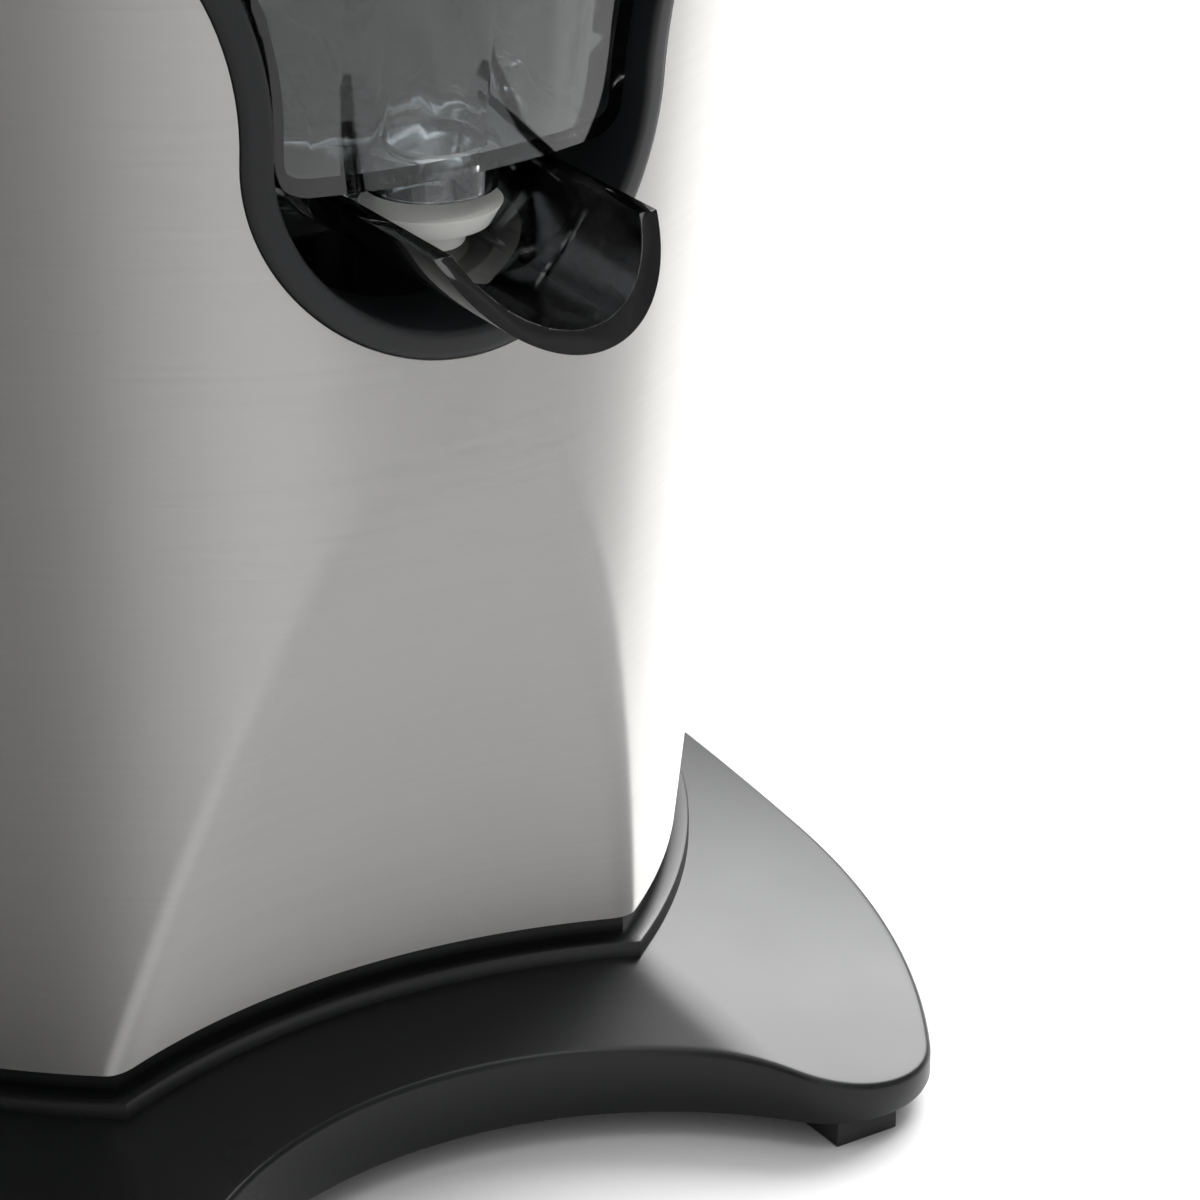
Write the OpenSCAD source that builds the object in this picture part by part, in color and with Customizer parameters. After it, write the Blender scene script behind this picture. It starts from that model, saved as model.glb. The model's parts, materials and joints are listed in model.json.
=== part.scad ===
// Electric citrus press with a lever arm.
// Units are millimetres, +Z is up, and the front with the spout faces -Y.
// The origin is on the table, under the middle of the whole press.

/* [Body] */
// Half width of the body at the lower edge of the steel skin
body_half_w = 80.5; // [76:0.5:92]
// Distance from the middle to the front of the skin at the same height
body_reach = 99; // [94:1:118]
// Radius of the nose at the front and at the back of the oval
nose_r = 55; // [48:1:60]
// Height of the lower edge of the steel skin
skin_z = 22.3; // [20:0.1:28]
// Height of the steel skin
skin_h = 168; // [160:1:200]
// Thickness of the steel sheet
skin_t = 1; // [0.6:0.1:1.5]
// Outward growth of the body for each millimetre of height
body_flare = 0.107; // [0.05:0.001:0.14]

/* [Front scoop] */
// Depth of the scoop into the body at the skin's lower edge
scoop_depth = 22.4; // [18:0.2:27]
// Radius of the scoop's cylinder
scoop_r = 101.5; // [80:0.5:120]
// Forward lean of the scoop from the vertical, in degrees
scoop_lean = 20.9; // [16:0.1:26]

/* [Spout mouth] */
// Depth of the centre of the mouth's round lower end below the skin's upper edge
mouth_drop = 42.5; // [38:0.1:50]
// Radius of the lower end of the mouth in the skin
mouth_r = 28.4; // [25:0.1:32]
// Radius of the flare on each side of the mouth's upper part
mouth_flare_r = 46; // [43:1:56]
// Width of the bezel around the mouth
bezel_w = 3.7; // [2.5:0.1:5]
// Depth of the bezel into the body
bezel_depth = 13; // [8:1:16]
// Distance that the bezel stands proud of the skin
bezel_proud = 0.5; // [0.2:0.1:1]

/* [Base] */
// Height of the feet below the base
foot_h = 3.5; // [2:0.5:6]
// Distance from the base's upper face up to the skin's lower edge
skin_gap = 4.6; // [3.5:0.1:5.5]
// Height of the collar on the base's upper face
collar_h = 2.3; // [1.5:0.1:3]
// Distance that the collar stands outside the skin's plan
collar_out = 2; // [1.5:0.1:3]
// Distance that the base's edge stands outside the skin's plan at the sides
base_margin = 4; // [3:0.5:8]
// Outward fall of the base's upper face for each millimetre
base_fall = 0.25; // [0.15:0.01:0.3]
// Wall of the base moulding
base_wall = 2.5; // [2:0.1:3.5]
// How far the centre of each prong's outer arc lies beyond the middle line
prong_side = 12.2; // [8:0.1:18]
// Distance from the front of the skin back to where the prongs begin to close in
prong_back = 37.5; // [33:0.5:43]
// Distance that the base's flanks stand outside the skin's plan
flank_margin = 2; // [1:0.5:2.5]
// Radius of the recess for the glass between the prongs
glass_r = 59; // [50:1:64]
// Distance from the front of the skin back to the back of the recess for the glass
glass_inset = 5.4; // [2:0.1:9]
// Radius at the tip of each prong
tip_r = 14; // [10:0.5:16]

/* [Juice bowl] */
// Distance from the middle of the body forward to the axis of the cone
axis_fwd = 22; // [18:1:26]
// Outer radius of the bowl at its rim
bowl_r = 74; // [70:1:76]
// Height of the bowl's rim above the top ring
bowl_rise = 8; // [4:1:14]
// Wall of the clear pieces
clear_t = 2.2; // [1.8:0.1:3]
// Outside radius of the spout's trough
spout_r = 15.5; // [14:0.1:16]
// Depth of the spout's trough
spout_depth = 10.8; // [9:0.1:13]
// Distance that the spout reaches beyond the skin
spout_over = 23.7; // [18:0.1:32]
// Distance that the spout's rims end behind its lip
spout_lip = 10.3; // [5:0.1:12]

/* [Cone and filter] */
// Radius of the reamer's foot
cone_r = 31; // [27:0.5:33]
// Height of the reamer
cone_h = 46; // [40:1:50]
// Number of ridges on the reamer
cone_ribs = 10; // [8:1:12]
// Distance from the bowl's rim in to the edge of the filter's floor
filter_inset = 16; // [14:1:20]

/* [Press arm] */
// Distance from the back of the skin's lower edge forward to the arm's hinge
hinge_inset = 9; // [5:1:15]
// Height of the arm's hinge above the top ring
hinge_rise = 27; // [24:1:32]
// Width of the arm
arm_w = 26; // [22:1:30]
// Distance from the bowl's rim in to the rim of the press dome
dome_inset = 27; // [24:0.5:30]
// Radius of the hand grip
grip_r = 14; // [12:0.5:16]

/* [Fits] */
// Radial clearance of a turning fit
run_gap = 0.05; // [0.03:0.01:0.1]
// Gap between moulded pieces that sit in each other
seat_gap = 0.3; // [0.2:0.05:0.5]

/* [Hidden] */
$fn = 96;
eps = 0.01;
far = 400;

// The oval plan is four arcs that meet smoothly: a nose at each end and a long arc on each side
nose_c = body_reach - nose_r;
side_step = body_half_w - nose_r;
side_c = (nose_c * nose_c - side_step * side_step) / (2 * side_step);
side_r = side_c + body_half_w;
skin_top = skin_z + skin_h;
scoop_reach = body_reach - scoop_depth;

// Base
base_top = skin_z - skin_gap;
collar_top = base_top + collar_h;
flank_w = body_half_w + flank_margin;
prong_r = flank_w + prong_side;
prong_fwd = body_reach - prong_back;
glass_back = body_reach - glass_inset;
flank_back = sqrt(pow(side_r + base_margin, 2) - pow(flank_w + side_c, 2));
ledge_fall = 0.27;
collar_arc_r = scoop_r * cos(scoop_lean) - collar_out;
collar_arc_y = scoop_reach + collar_out + collar_arc_r;
prong_c = [-prong_side, -prong_fwd];
glass_c = [0, -glass_back - glass_r];
// Point at distance ra from a and rb from b, to the left of the way from a to b
function meet(a, ra, b, rb) =
    let (d = b - a, l = norm(d), t = (ra * ra - rb * rb + l * l) / (2 * l), h = sqrt(ra * ra - t * t))
    a + t / l * d + h / l * [-d[1], d[0]];
tip_c = meet(prong_c, prong_r - tip_r, glass_c, glass_r + tip_r);
tip_step = 0.02;
rim_h = 4;
cover_t = 2;
cover_z = foot_h + 0.5;
vent_w = 70;
vent_l = 64;
vent_y = 28;

// Screws
screw_r = 1.6;
screw_core_r = 1.3;
screw_head_r = 3;
screw_head_h = 2;
screw_l = 9;
boss_r = 4;
cover_screw_x = body_half_w - 18.5;
cover_screw_y = body_reach - 55;

// Feet
foot_x = tip_c[0] - 1.6;
foot_front_y = tip_c[1] - 7.2;
foot_rear_x = body_half_w - 38.5;
foot_rear_y = body_reach - 29;
front_pad_w = 9.5;
rear_pad_r = 9;
stem_r = 2.5;
stem_h = 8;

// Casing
flare_x = mouth_r + mouth_flare_r;
mouth_z = skin_top - mouth_drop;
mouth_rise = min(mouth_drop, mouth_flare_r);
mouth_top_w = mouth_r + mouth_flare_r + 0.5
    - sqrt(mouth_flare_r * mouth_flare_r - mouth_rise * mouth_rise);
deck_z = mouth_z - mouth_r - 4.4;
deck_t = 3;
liner_gap = skin_t + 1.5;
liner_t = 2;
liner_mouth_gap = 0.5;
lip_h = 6;
lip_t = 2;
liner_top = skin_top - lip_h - 1;
ring_h = 15.7;
ring_top = skin_top + ring_h;
ring_t = 3;
ring_out = 0.4;
bowl_hole_r = bowl_r + 1.2;
ya = -axis_fwd;
post_x = body_half_w - 26.5;
post_y = body_reach - 57;
post_r = 5;
boss_out_r = 12;
bowl_z = mouth_z - 6.3;
boss_top = bowl_z + 8.5;
bush_r = 9;
seal_h = 4;
bowl_foot_r = bowl_r - 22;
gland_z = 40;
gland_r = 5.5;
gland_l = 14;
gland_y = body_reach + body_flare * (gland_z - skin_z) - gland_l / 2;
cord_bore_r = 3.6;

// Gears: module, tooth counts and levels
pressure_angle = 25;
tooth_add = 0.8;
tooth_ded = 1.05;
tooth_slack = 0.08;
flank_steps = 4;
motor_m = 1;
out_m = 1.25;
pinion_teeth = 12;
big_teeth = 48;
small_teeth = 12;
out_teeth = 44;
gear_w = 7;
case_floor_t = 2.5;
case_t = 2.5;
case_top = deck_z - case_t - 1.5;
case_z = case_top - 27;
gear_z = case_z + case_floor_t + 1.5;
out_lift = gear_w + 1.5;
motor_back = 62;
out_c = [0, ya];
motor_c = [0, ya + motor_back];
idler_c = meet(motor_c, motor_m * (pinion_teeth + big_teeth) / 2,
               out_c, out_m * (small_teeth + out_teeth) / 2);
// Turn of each gear so that teeth meet gaps on the line between centres
to_idler = atan2(idler_c[1] - motor_c[1], idler_c[0] - motor_c[0]);
to_output = atan2(out_c[1] - idler_c[1], out_c[0] - idler_c[0]);
pinion_turn = to_idler;
big_turn = to_idler + 180 + 180 / big_teeth;
small_turn = to_output;
out_turn = to_output + 180 + 180 / out_teeth;
out_tip_r = out_m * (out_teeth / 2 + tooth_add);
big_tip_r = motor_m * (big_teeth / 2 + tooth_add);
pinion_room_r = 12;
case_out_r = out_tip_r + 2 + case_t + 2.4;
case_idler_r = big_tip_r + 2 + case_t + 2;
journal_r = 8;
hub_top = case_top + case_t - 1;
idler_pin_r = 3;

// Motor
motor_r = 29;
motor_z = case_z - 52;
can_t = 1.6;
motor_neck_r = 7;
motor_shaft_r = 3;
motor_screw_r = 22;
end_cap_t = 3;
magnet_l = 32;
rotor_r = 16;
fan_drop = 9;
fan_r = 24;
fan_w = 7;

// Spindle, spring and switch
hex_r = 6;
disc_z = case_z - 6;
disc_t = 2;
disc_r = 12;
neck_z = case_top + case_t + 3;
spindle_r = 6;
drive_z = bowl_z + 11.5;
drive_l = 26;
drive_r = 5.4;
spring_z = disc_z - 18;
spring_r = 4;
bracket_x = 25;
switch_x = 9.5;
switch_h = 13;
plunger_r = 1.5;
board_x = -60;
board_y = -18;
board_l = 44;
board_h = 40;
board_t = 1.6;

// Bowl, spout and filter
snout_gap = 1.2;
panel_gap = 3;
bowl_top = ring_top + bowl_rise;
bowl_floor_r = bowl_r - 14;
bowl_low_r = bowl_r - 3.3;
bowl_knee = 14;
ledge_z = ring_top - 7;
snout_corner_r = 5;
panel_half = 24;
snout_top_w = 46;
notch_w = snout_top_w + snout_gap;
chimney_r = 13;
chimney_top = bowl_z + 21.5;
front_wall = body_reach + body_flare * (bowl_z - skin_z);
spout_reach = front_wall + spout_over;
spout_rim_z = bowl_z - 2.2;
spout_low_z = spout_rim_z - spout_depth;
outlet_y = 11.75 - front_wall;
outlet_r = 8;
outlet_h = 3.5;
pivot_y = outlet_y + 14;
pivot_z = bowl_z - 4;
pivot_r = 1.5;
ear_x = spout_r + 3.5;
knuckle_w = spout_r + 1;
knuckle_r = 2.4;
trough_back_y = pivot_y + 3;
pad_z = bowl_z - 8.2;
pad_t = 2.6;
filter_z = bowl_z + 20;
filter_r = bowl_r - filter_inset;
filter_hole_r = 21;
filter_rim_r = bowl_r - 7.5;
slot_count = 36;
cone_z = bowl_z + 27.5;
skirt_r = 19;
skirt_h = 11;
cone_t = 2;
socket_t = 2.4;
drive_gap = 0.08;

// Press arm
hinge_r = 4;
arm_hub_r = 12.5;
ear_r = 13;
ear_t = 8;
ear_gap = 0.6;
bracket_half = arm_w / 2 + ear_gap + ear_t;
bracket_screw_x = 9;
hinge_back = body_reach - hinge_inset;
hinge_z = ring_top + hinge_rise;
yoke_r = 3;
lug_w = 10;
grip_rise = 7;
tang_r = 7;
tang_l = 76;
grip_back = 44;
// the grip's flat end leans by grip_rise against the arm's upright end
grip_start = (grip_r - 4) * tan(grip_rise) + 0.2;
grip_over = 5;
grip_nose_r = grip_r - 8;
dome_z = cone_z + cone_h - 33;
dome_r = bowl_r - dome_inset;
dome_t = 3;
dome_skirt = 6;
yoke_z = dome_z + dome_r + 13;
arm_top = yoke_z + 15;

// The origin stands midway between the end of the grip and the back of the top ring
front_reach = axis_fwd + grip_back + (tang_l + grip_over) * cos(grip_rise) + grip_nose_r * sin(grip_rise);
rear_reach = body_reach + ring_out + body_flare * (ring_top - skin_z);
body_mid = (front_reach - rear_reach) / 2;

// ---- shared shapes ----

// Sector of the plan that belongs to the nose on side s, +1 at the back and -1 at the front
module nose_sector(s) {
    polygon([[0, s * nose_c],
             [far * side_c / nose_c, s * (nose_c + far)],
             [-far * side_c / nose_c, s * (nose_c + far)]]);
}

module nose_wedge(s, z0, z1) {
    translate([0, 0, z0 - 1]) linear_extrude(z1 - z0 + 2) nose_sector(s);
}

// The oval as a flat outline, moved outward by off
module oval(off = 0) {
    difference() {
        intersection() {
            translate([side_c, 0]) circle(side_r + off);
            translate([-side_c, 0]) circle(side_r + off);
        }
        nose_sector(1);
        nose_sector(-1);
    }
    for (s = [-1, 1])
        intersection() {
            translate([0, s * nose_c]) circle(nose_r + off);
            nose_sector(s);
        }
}

// The oval as a solid from z0 to z1 that grows by slope for each millimetre above the skin's edge
module oval_tower(z0, z1, off = 0, slope = body_flare) {
    g0 = off + slope * (z0 - skin_z);
    g1 = off + slope * (z1 - skin_z);
    difference() {
        intersection() {
            translate([side_c, 0, z0]) cylinder(h = z1 - z0, r1 = side_r + g0, r2 = side_r + g1);
            translate([-side_c, 0, z0]) cylinder(h = z1 - z0, r1 = side_r + g0, r2 = side_r + g1);
        }
        nose_wedge(1, z0, z1);
        nose_wedge(-1, z0, z1);
    }
    for (s = [-1, 1])
        intersection() {
            translate([0, s * nose_c, z0]) cylinder(h = z1 - z0, r1 = nose_r + g0, r2 = nose_r + g1);
            nose_wedge(s, z0, z1);
        }
}

// The leaning cylinder that hollows the front; grow moves its surface into the body
module scoop(grow = 0) {
    translate([0, -scoop_reach - scoop_r / cos(scoop_lean), skin_z])
        rotate([scoop_lean, 0, 0])
            cylinder(r = scoop_r + grow, h = far, center = true);
}

// ---- placing ----

// Moves the body so that the origin is under the middle of the whole press
module placed() { translate([0, body_mid, 0]) children(); }

// ---- base ----

// Outline of the base, moved inward by inset; the prongs hold a glass between them
module base_plan(inset = 0) {
    difference() {
        union() {
            oval(base_margin - inset);
            translate([-flank_w + inset, -prong_fwd])
                square([2 * (flank_w - inset), prong_fwd - flank_back]);
        }
        glass_room(inset);
    }
    difference() {
        intersection() {
            translate([prong_side, -prong_fwd]) circle(prong_r - inset);
            translate([-prong_side, -prong_fwd]) circle(prong_r - inset);
            translate([-far, -prong_fwd - far]) square([2 * far, far]);
        }
        glass_room(inset);
        for (s = [-1, 1]) prong_end(s, inset);
    }
    for (s = [-1, 1])
        intersection() {
            translate([s * tip_c[0], tip_c[1]]) circle(tip_r - tip_step - inset);
            prong_end(s, inset);
        }
}

module glass_room(inset) {
    translate([0, glass_c[1]]) circle(glass_r + inset - tip_step / 2);
}

// The area beyond the line where a prong's round tip begins
module prong_end(s, inset) {
    outer_dir = tip_c - prong_c;
    inner_dir = tip_c - glass_c;
    a = prong_c + (prong_r - inset) / norm(outer_dir) * outer_dir;
    b = glass_c + (glass_r + inset) / norm(inner_dir) * inner_dir;
    out = (a + b) / 2 - tip_c;
    reach = prong_r / norm(out) * out;
    polygon([for (p = [a, b, b + reach, a + reach]) [s * p[0], p[1]]]);
}

// Solid under the base's sloping upper face
module base_solid(inset = 0, drop = 0) {
    slope = -1 / base_fall;
    difference() {
        intersection() {
            translate([0, 0, foot_h - drop]) linear_extrude(base_top - foot_h) base_plan(inset);
            translate([0, 0, -drop])
                oval_tower(foot_h - 1, base_top, collar_out - (skin_z - base_top) / base_fall, slope);
        }
        // the upper face also falls away in front of the scoop
        translate([0, -collar_arc_y, foot_h - drop])
            cylinder(h = base_top - foot_h + eps, r1 = collar_arc_r - (base_top - foot_h) / ledge_fall,
                     r2 = collar_arc_r);
    }
}

module collar_ring() {
    translate([0, 0, base_top - eps]) linear_extrude(collar_top - base_top + eps)
        difference() {
            oval(collar_out);
            translate([0, -collar_arc_y]) circle(collar_arc_r);
        }
}

// Oval tube that stays behind the skin, with its scoop
module skin_liner(z0, z1, gap, t) {
    difference() {
        oval_tower(z0, z1, -gap);
        scoop(gap);
        difference() {
            oval_tower(z0 - eps, z1 + eps, -gap - t);
            scoop(gap + t);
        }
    }
}

module at_posts() {
    for (x = [-post_x, post_x], y = [-post_y, post_y]) translate([x, y, 0]) children();
}

module at_cover_screws() {
    for (x = [-cover_screw_x, cover_screw_x], y = [-cover_screw_y, cover_screw_y])
        translate([x, y, 0]) children();
}

module at_feet() {
    for (s = [-1, 1]) {
        translate([s * foot_x, foot_front_y, 0]) children();
        translate([s * foot_rear_x, foot_rear_y, 0]) children();
    }
}

module base() {
    placed() color([0.05, 0.05, 0.055])
        difference() {
            union() {
                difference() {
                    base_solid();
                    base_solid(base_wall, base_wall);
                    translate([0, 0, foot_h - 1]) linear_extrude(1 + eps) base_plan(base_wall);
                }
                collar_ring();
                skin_liner(collar_top - eps, skin_z + rim_h, skin_t + seat_gap, base_wall);
                at_cover_screws() translate([0, 0, cover_z + cover_t])
                    cylinder(r = boss_r, h = base_top - cover_z - cover_t - 1);
                for (s = [-1, 1]) {
                    translate([s * foot_x, foot_front_y, cover_z + cover_t])
                        cylinder(r = stem_r + 2, h = stem_h - cover_z - cover_t + 1);
                    translate([s * foot_rear_x, foot_rear_y, cover_z + cover_t])
                        cylinder(r = stem_r + 2, h = base_top - cover_z - cover_t - 1);
                }
            }
            // cooling window below the motor
            translate([-vent_w / 2, vent_y - vent_l / 2, base_top - base_wall - 1])
                cube([vent_w, vent_l, collar_top]);
            at_cover_screws() translate([0, 0, cover_z])
                cylinder(r = screw_core_r, h = screw_l + 1);
            at_posts() translate([0, 0, foot_h]) cylinder(r = screw_r + run_gap, h = far);
            at_feet() translate([0, 0, foot_h]) cylinder(r = stem_r + run_gap, h = stem_h - foot_h);
        }
}

module bottom_cover() {
    placed() color([0.09, 0.09, 0.095])
        difference() {
            translate([0, 0, cover_z]) linear_extrude(cover_t) base_plan(base_wall + seat_gap);
            for (i = [-3:3], s = [-1, 1])
                translate([s * 26 - 16, vent_y + 9 * i - 1.5, 0]) cube([32, 3, 20]);
            at_cover_screws() cylinder(r = screw_r + run_gap, h = 20);
            at_posts() cylinder(r = screw_head_r + 1, h = 20);
            at_feet() cylinder(r = stem_r + run_gap, h = 20);
        }
}

module cover_screws() {
    placed() color([0.5, 0.5, 0.52])
        at_cover_screws() screw(cover_z, screw_l);
}

// Screw that goes up from z, with its round head below
module screw(z, length) {
    translate([0, 0, z - screw_head_h]) cylinder(r = screw_head_r, h = screw_head_h);
    translate([0, 0, z]) cylinder(r = screw_core_r - eps, h = length);
}

module front_foot(s) {
    placed() color([0.07, 0.07, 0.07]) {
        translate([s * foot_x - front_pad_w / 2, foot_front_y - front_pad_w / 2, 0])
            cube([front_pad_w, front_pad_w, foot_h]);
        translate([s * foot_x, foot_front_y, foot_h]) cylinder(r = stem_r, h = stem_h - foot_h - 1);
    }
}

module rear_foot(s) {
    placed() color([0.07, 0.07, 0.07])
        translate([s * foot_rear_x, foot_rear_y, 0]) {
            cylinder(r1 = rear_pad_r - 1, r2 = rear_pad_r, h = foot_h);
            translate([0, 0, foot_h]) cylinder(r = stem_r, h = stem_h - foot_h - 1);
        }
}

// ---- casing ----

// Front outline of the mouth, moved inward by inset, up to height top
module mouth(inset, top) {
    intersection() {
        translate([0, mouth_z]) circle(mouth_r - inset);
        translate([-far, mouth_z - far]) square([2 * far, far]);
    }
    difference() {
        translate([-flare_x, mouth_z]) square([2 * flare_x, top - mouth_z]);
        for (s = [-1, 1]) translate([s * flare_x, mouth_z]) circle(mouth_flare_r + inset);
    }
}

// The mouth carried through the front half of the body
module mouth_bar(inset) {
    rotate([90, 0, 0]) linear_extrude(far) mouth(inset, skin_top + eps);
}

module body_skin() {
    placed() color([0.72, 0.72, 0.72])
        difference() {
            skin_liner(skin_z, skin_top, 0, skin_t);
            mouth_bar(0);
            translate([0, 0, gland_z]) rotate([-90, 0, 0]) cylinder(r = gland_r + 0.1, h = far);
        }
}

module spout_bezel() {
    placed() color([0.09, 0.09, 0.09])
        intersection() {
            difference() {
                mouth_bar(0.1);
                mouth_bar(bezel_w);
            }
            difference() {
                oval_tower(mouth_z - mouth_r - 5, skin_top - 0.3, bezel_proud);
                oval_tower(mouth_z - mouth_r - 5.5, skin_top + 1.7, -bezel_depth);
            }
        }
}

// Dark wall behind the skin, seen through the mouth
module recess_liner() {
    placed() color([0.04, 0.04, 0.045])
        difference() {
            skin_liner(deck_z + deck_t + seat_gap, liner_top, liner_gap, liner_t);
            mouth_bar(-liner_mouth_gap);
        }
}

// The gearbox hangs from the deck and the bowl stands on it
module deck() {
    placed() color([0.04, 0.04, 0.045])
        difference() {
            union() {
                oval_tower(deck_z, deck_z + deck_t, -liner_gap);
                translate([0, ya, deck_z]) cylinder(r = boss_out_r, h = boss_top - deck_z);
                at_posts() translate([0, 0, collar_top])
                    cylinder(r = post_r, h = deck_z - collar_top + eps);
                for (a = [30:60:359]) translate([0, ya, 0]) rotate(a)
                    translate([bowl_foot_r, 0, deck_z]) cylinder(r = 4, h = bowl_z - deck_z);
            }
            translate([0, ya, deck_z - 1]) cylinder(r = bush_r, h = boss_top);
            at_posts() translate([0, 0, base_top - 1]) cylinder(r = screw_core_r, h = screw_l + 2);
            at_gear_screws() translate([0, 0, deck_z - 1]) cylinder(r = screw_core_r, h = deck_t + 2);
        }
}

module post_screws() {
    placed() color([0.5, 0.5, 0.52]) at_posts() screw(base_top - base_wall, screw_l);
}

module top_ring() {
    placed() color([0.06, 0.06, 0.065])
        difference() {
            union() {
                difference() {
                    oval_tower(skin_top, ring_top, ring_out);
                    difference() {
                        oval_tower(skin_top - 1, ring_top - ring_t, -ring_t);
                        translate([0, ya, 0]) cylinder(r = bowl_hole_r + ring_t, h = far);
                    }
                }
                difference() {
                    oval_tower(skin_top - lip_h, skin_top + eps, -skin_t - seat_gap);
                    oval_tower(skin_top - lip_h - 1, skin_top + 1, -skin_t - seat_gap - lip_t);
                    // the bezel passes here
                    translate([-mouth_top_w, -far, skin_top - 2 * lip_h])
                        cube([2 * mouth_top_w, far, 3 * lip_h]);
                }
            }
            translate([0, ya, 0]) cylinder(r = bowl_hole_r, h = far);
            // the bowl's snout drops into this gap
            translate([-notch_w, -far, skin_top - 2 * lip_h]) cube([2 * notch_w, far + ya, far]);
            for (s = [-1, 1]) translate([s * bracket_screw_x, hinge_back, ring_top - ring_t - 1])
                cylinder(r = screw_r + run_gap, h = ring_t + 2);
        }
}

module cord_gland() {
    // stands in the hole at the back of the skin
    placed() color([0.05, 0.05, 0.05])
        translate([0, gland_y, gland_z]) rotate([-90, 0, 0])
            difference() {
                union() {
                    cylinder(r = gland_r, h = gland_l);
                    translate([0, 0, gland_l / 2 + 1.6]) cylinder(r = gland_r + 2, h = 2.4);
                    cylinder(r = gland_r + 2, h = 2.4);
                }
                translate([0, 0, -1]) cylinder(r = cord_bore_r, h = gland_l + 2);
            }
}

// ---- motor and gears ----

// Involute angle in degrees at radius r for base radius rb
function involute(r, rb) = let (c = acos(min(1, rb / r))) tan(c) * 180 / PI - c;

// Half of a tooth's angle at radius r
function half_tooth(teeth, m, r) =
    let (rp = teeth * m / 2, rb = rp * cos(pressure_angle))
    90 / teeth - tooth_slack / rp * 180 / PI + involute(rp, rb) - involute(max(r, rb), rb);

function polar(r, a) = [r * cos(a), r * sin(a)];

function gear_outline(teeth, m) =
    let (rp = teeth * m / 2, rb = rp * cos(pressure_angle), ro = rp + tooth_add * m,
         rr = rp - tooth_ded * m, r0 = max(rr, rb))
    [for (i = [0:teeth - 1]) let (mid = 360 / teeth * i) each concat(
        [polar(rr, mid - half_tooth(teeth, m, rr) - (rr < rb ? 0.2 : 0))],
        [for (k = [0:flank_steps]) let (r = r0 + (ro - r0) * k / flank_steps)
            polar(r, mid - half_tooth(teeth, m, r))],
        [for (k = [flank_steps:-1:0]) let (r = r0 + (ro - r0) * k / flank_steps)
            polar(r, mid + half_tooth(teeth, m, r))],
        [polar(rr, mid + half_tooth(teeth, m, rr) + (rr < rb ? 0.2 : 0))])];

module gear(teeth, m, h) {
    linear_extrude(h) polygon(gear_outline(teeth, m));
}

module at_output() { translate([0, ya, 0]) children(); }
module at_idler() { translate([idler_c[0], idler_c[1], 0]) children(); }
module at_motor() { translate([motor_c[0], motor_c[1], 0]) children(); }

module at_gear_screws() {
    at_output() for (a = [200, 270, 340]) translate(polar(case_out_r, a)) children();
    at_idler() for (a = [0, 180]) translate(polar(case_idler_r, a)) children();
}

module case_outline(grow = 0) {
    at_output() circle(out_tip_r + 2 + grow);
    at_idler() circle(big_tip_r + 2 + grow);
    at_motor() circle(pinion_room_r + grow);
}

module gearbox_case() {
    placed() color([0.82, 0.82, 0.78])
        difference() {
            union() {
                translate([0, 0, case_z]) linear_extrude(case_top - case_z) case_outline(case_t);
                at_gear_screws() translate([0, 0, case_z]) cylinder(r = 4, h = case_top - case_z);
                at_motor() translate([0, 0, case_z]) cylinder(r = motor_r, h = case_floor_t);
            }
            translate([0, 0, case_z + case_floor_t]) linear_extrude(far) case_outline();
            at_output() translate([0, 0, case_z - 1]) cylinder(r = journal_r + run_gap, h = 20);
            at_idler() translate([0, 0, case_z - 1]) cylinder(r = idler_pin_r, h = 20);
            at_motor() translate([0, 0, case_z - 1]) cylinder(r = motor_neck_r + 0.1, h = 20);
            at_gear_screws() translate([0, 0, case_z - 1]) cylinder(r = screw_r, h = far);
            at_motor_screws() translate([0, 0, case_z - 1]) cylinder(r = screw_r + run_gap, h = 20);
            at_bracket_screws() translate([0, 0, case_z - 1]) cylinder(r = screw_core_r, h = 20);
        }
}

module gearbox_cover() {
    placed() color([0.82, 0.82, 0.78])
        difference() {
            translate([0, 0, case_top]) linear_extrude(case_t) {
                case_outline(case_t);
                at_gear_screws() circle(4);
            }
            at_output() translate([0, 0, case_top - 1]) cylinder(r = journal_r + run_gap, h = 20);
            at_idler() translate([0, 0, case_top - 1]) cylinder(r = idler_pin_r, h = 20);
            at_gear_screws() translate([0, 0, case_top - 1]) cylinder(r = screw_r, h = 20);
        }
}

module gearbox_screws() {
    placed() color([0.5, 0.5, 0.52])
        at_gear_screws() {
            translate([0, 0, case_z - screw_head_h]) cylinder(r = screw_head_r, h = screw_head_h);
            translate([0, 0, case_z]) cylinder(r = screw_core_r - eps, h = deck_z + deck_t - case_z - 0.5);
        }
}

module output_gear() {
    placed() color([0.86, 0.85, 0.8])
        at_output() difference() {
            union() {
                translate([0, 0, gear_z + out_lift]) rotate(out_turn) gear(out_teeth, out_m, gear_w);
                translate([0, 0, case_z - 1]) cylinder(r = journal_r, h = hub_top - case_z + 1);
                translate([0, 0, case_z + case_floor_t + 0.3])
                    cylinder(r = journal_r + 2, h = case_top - case_z - case_floor_t - 0.6);
            }
            translate([0, 0, case_z - 2]) cylinder(r = hex_r + 0.1, h = far, $fn = 6);
        }
}

module idler_gear() {
    placed() color([0.86, 0.85, 0.8])
        at_idler() difference() {
            union() {
                translate([0, 0, gear_z]) rotate(big_turn) gear(big_teeth, motor_m, gear_w);
                translate([0, 0, gear_z + gear_w - eps]) rotate(small_turn)
                    gear(small_teeth, out_m, case_top - gear_z - gear_w - 0.5);
            }
            translate([0, 0, gear_z - 1]) cylinder(r = idler_pin_r + run_gap, h = 40);
        }
}

module idler_pin() {
    placed() color([0.6, 0.6, 0.62])
        at_idler() translate([0, 0, case_z])
            cylinder(r = idler_pin_r - eps, h = case_top + case_t - case_z);
}

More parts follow.
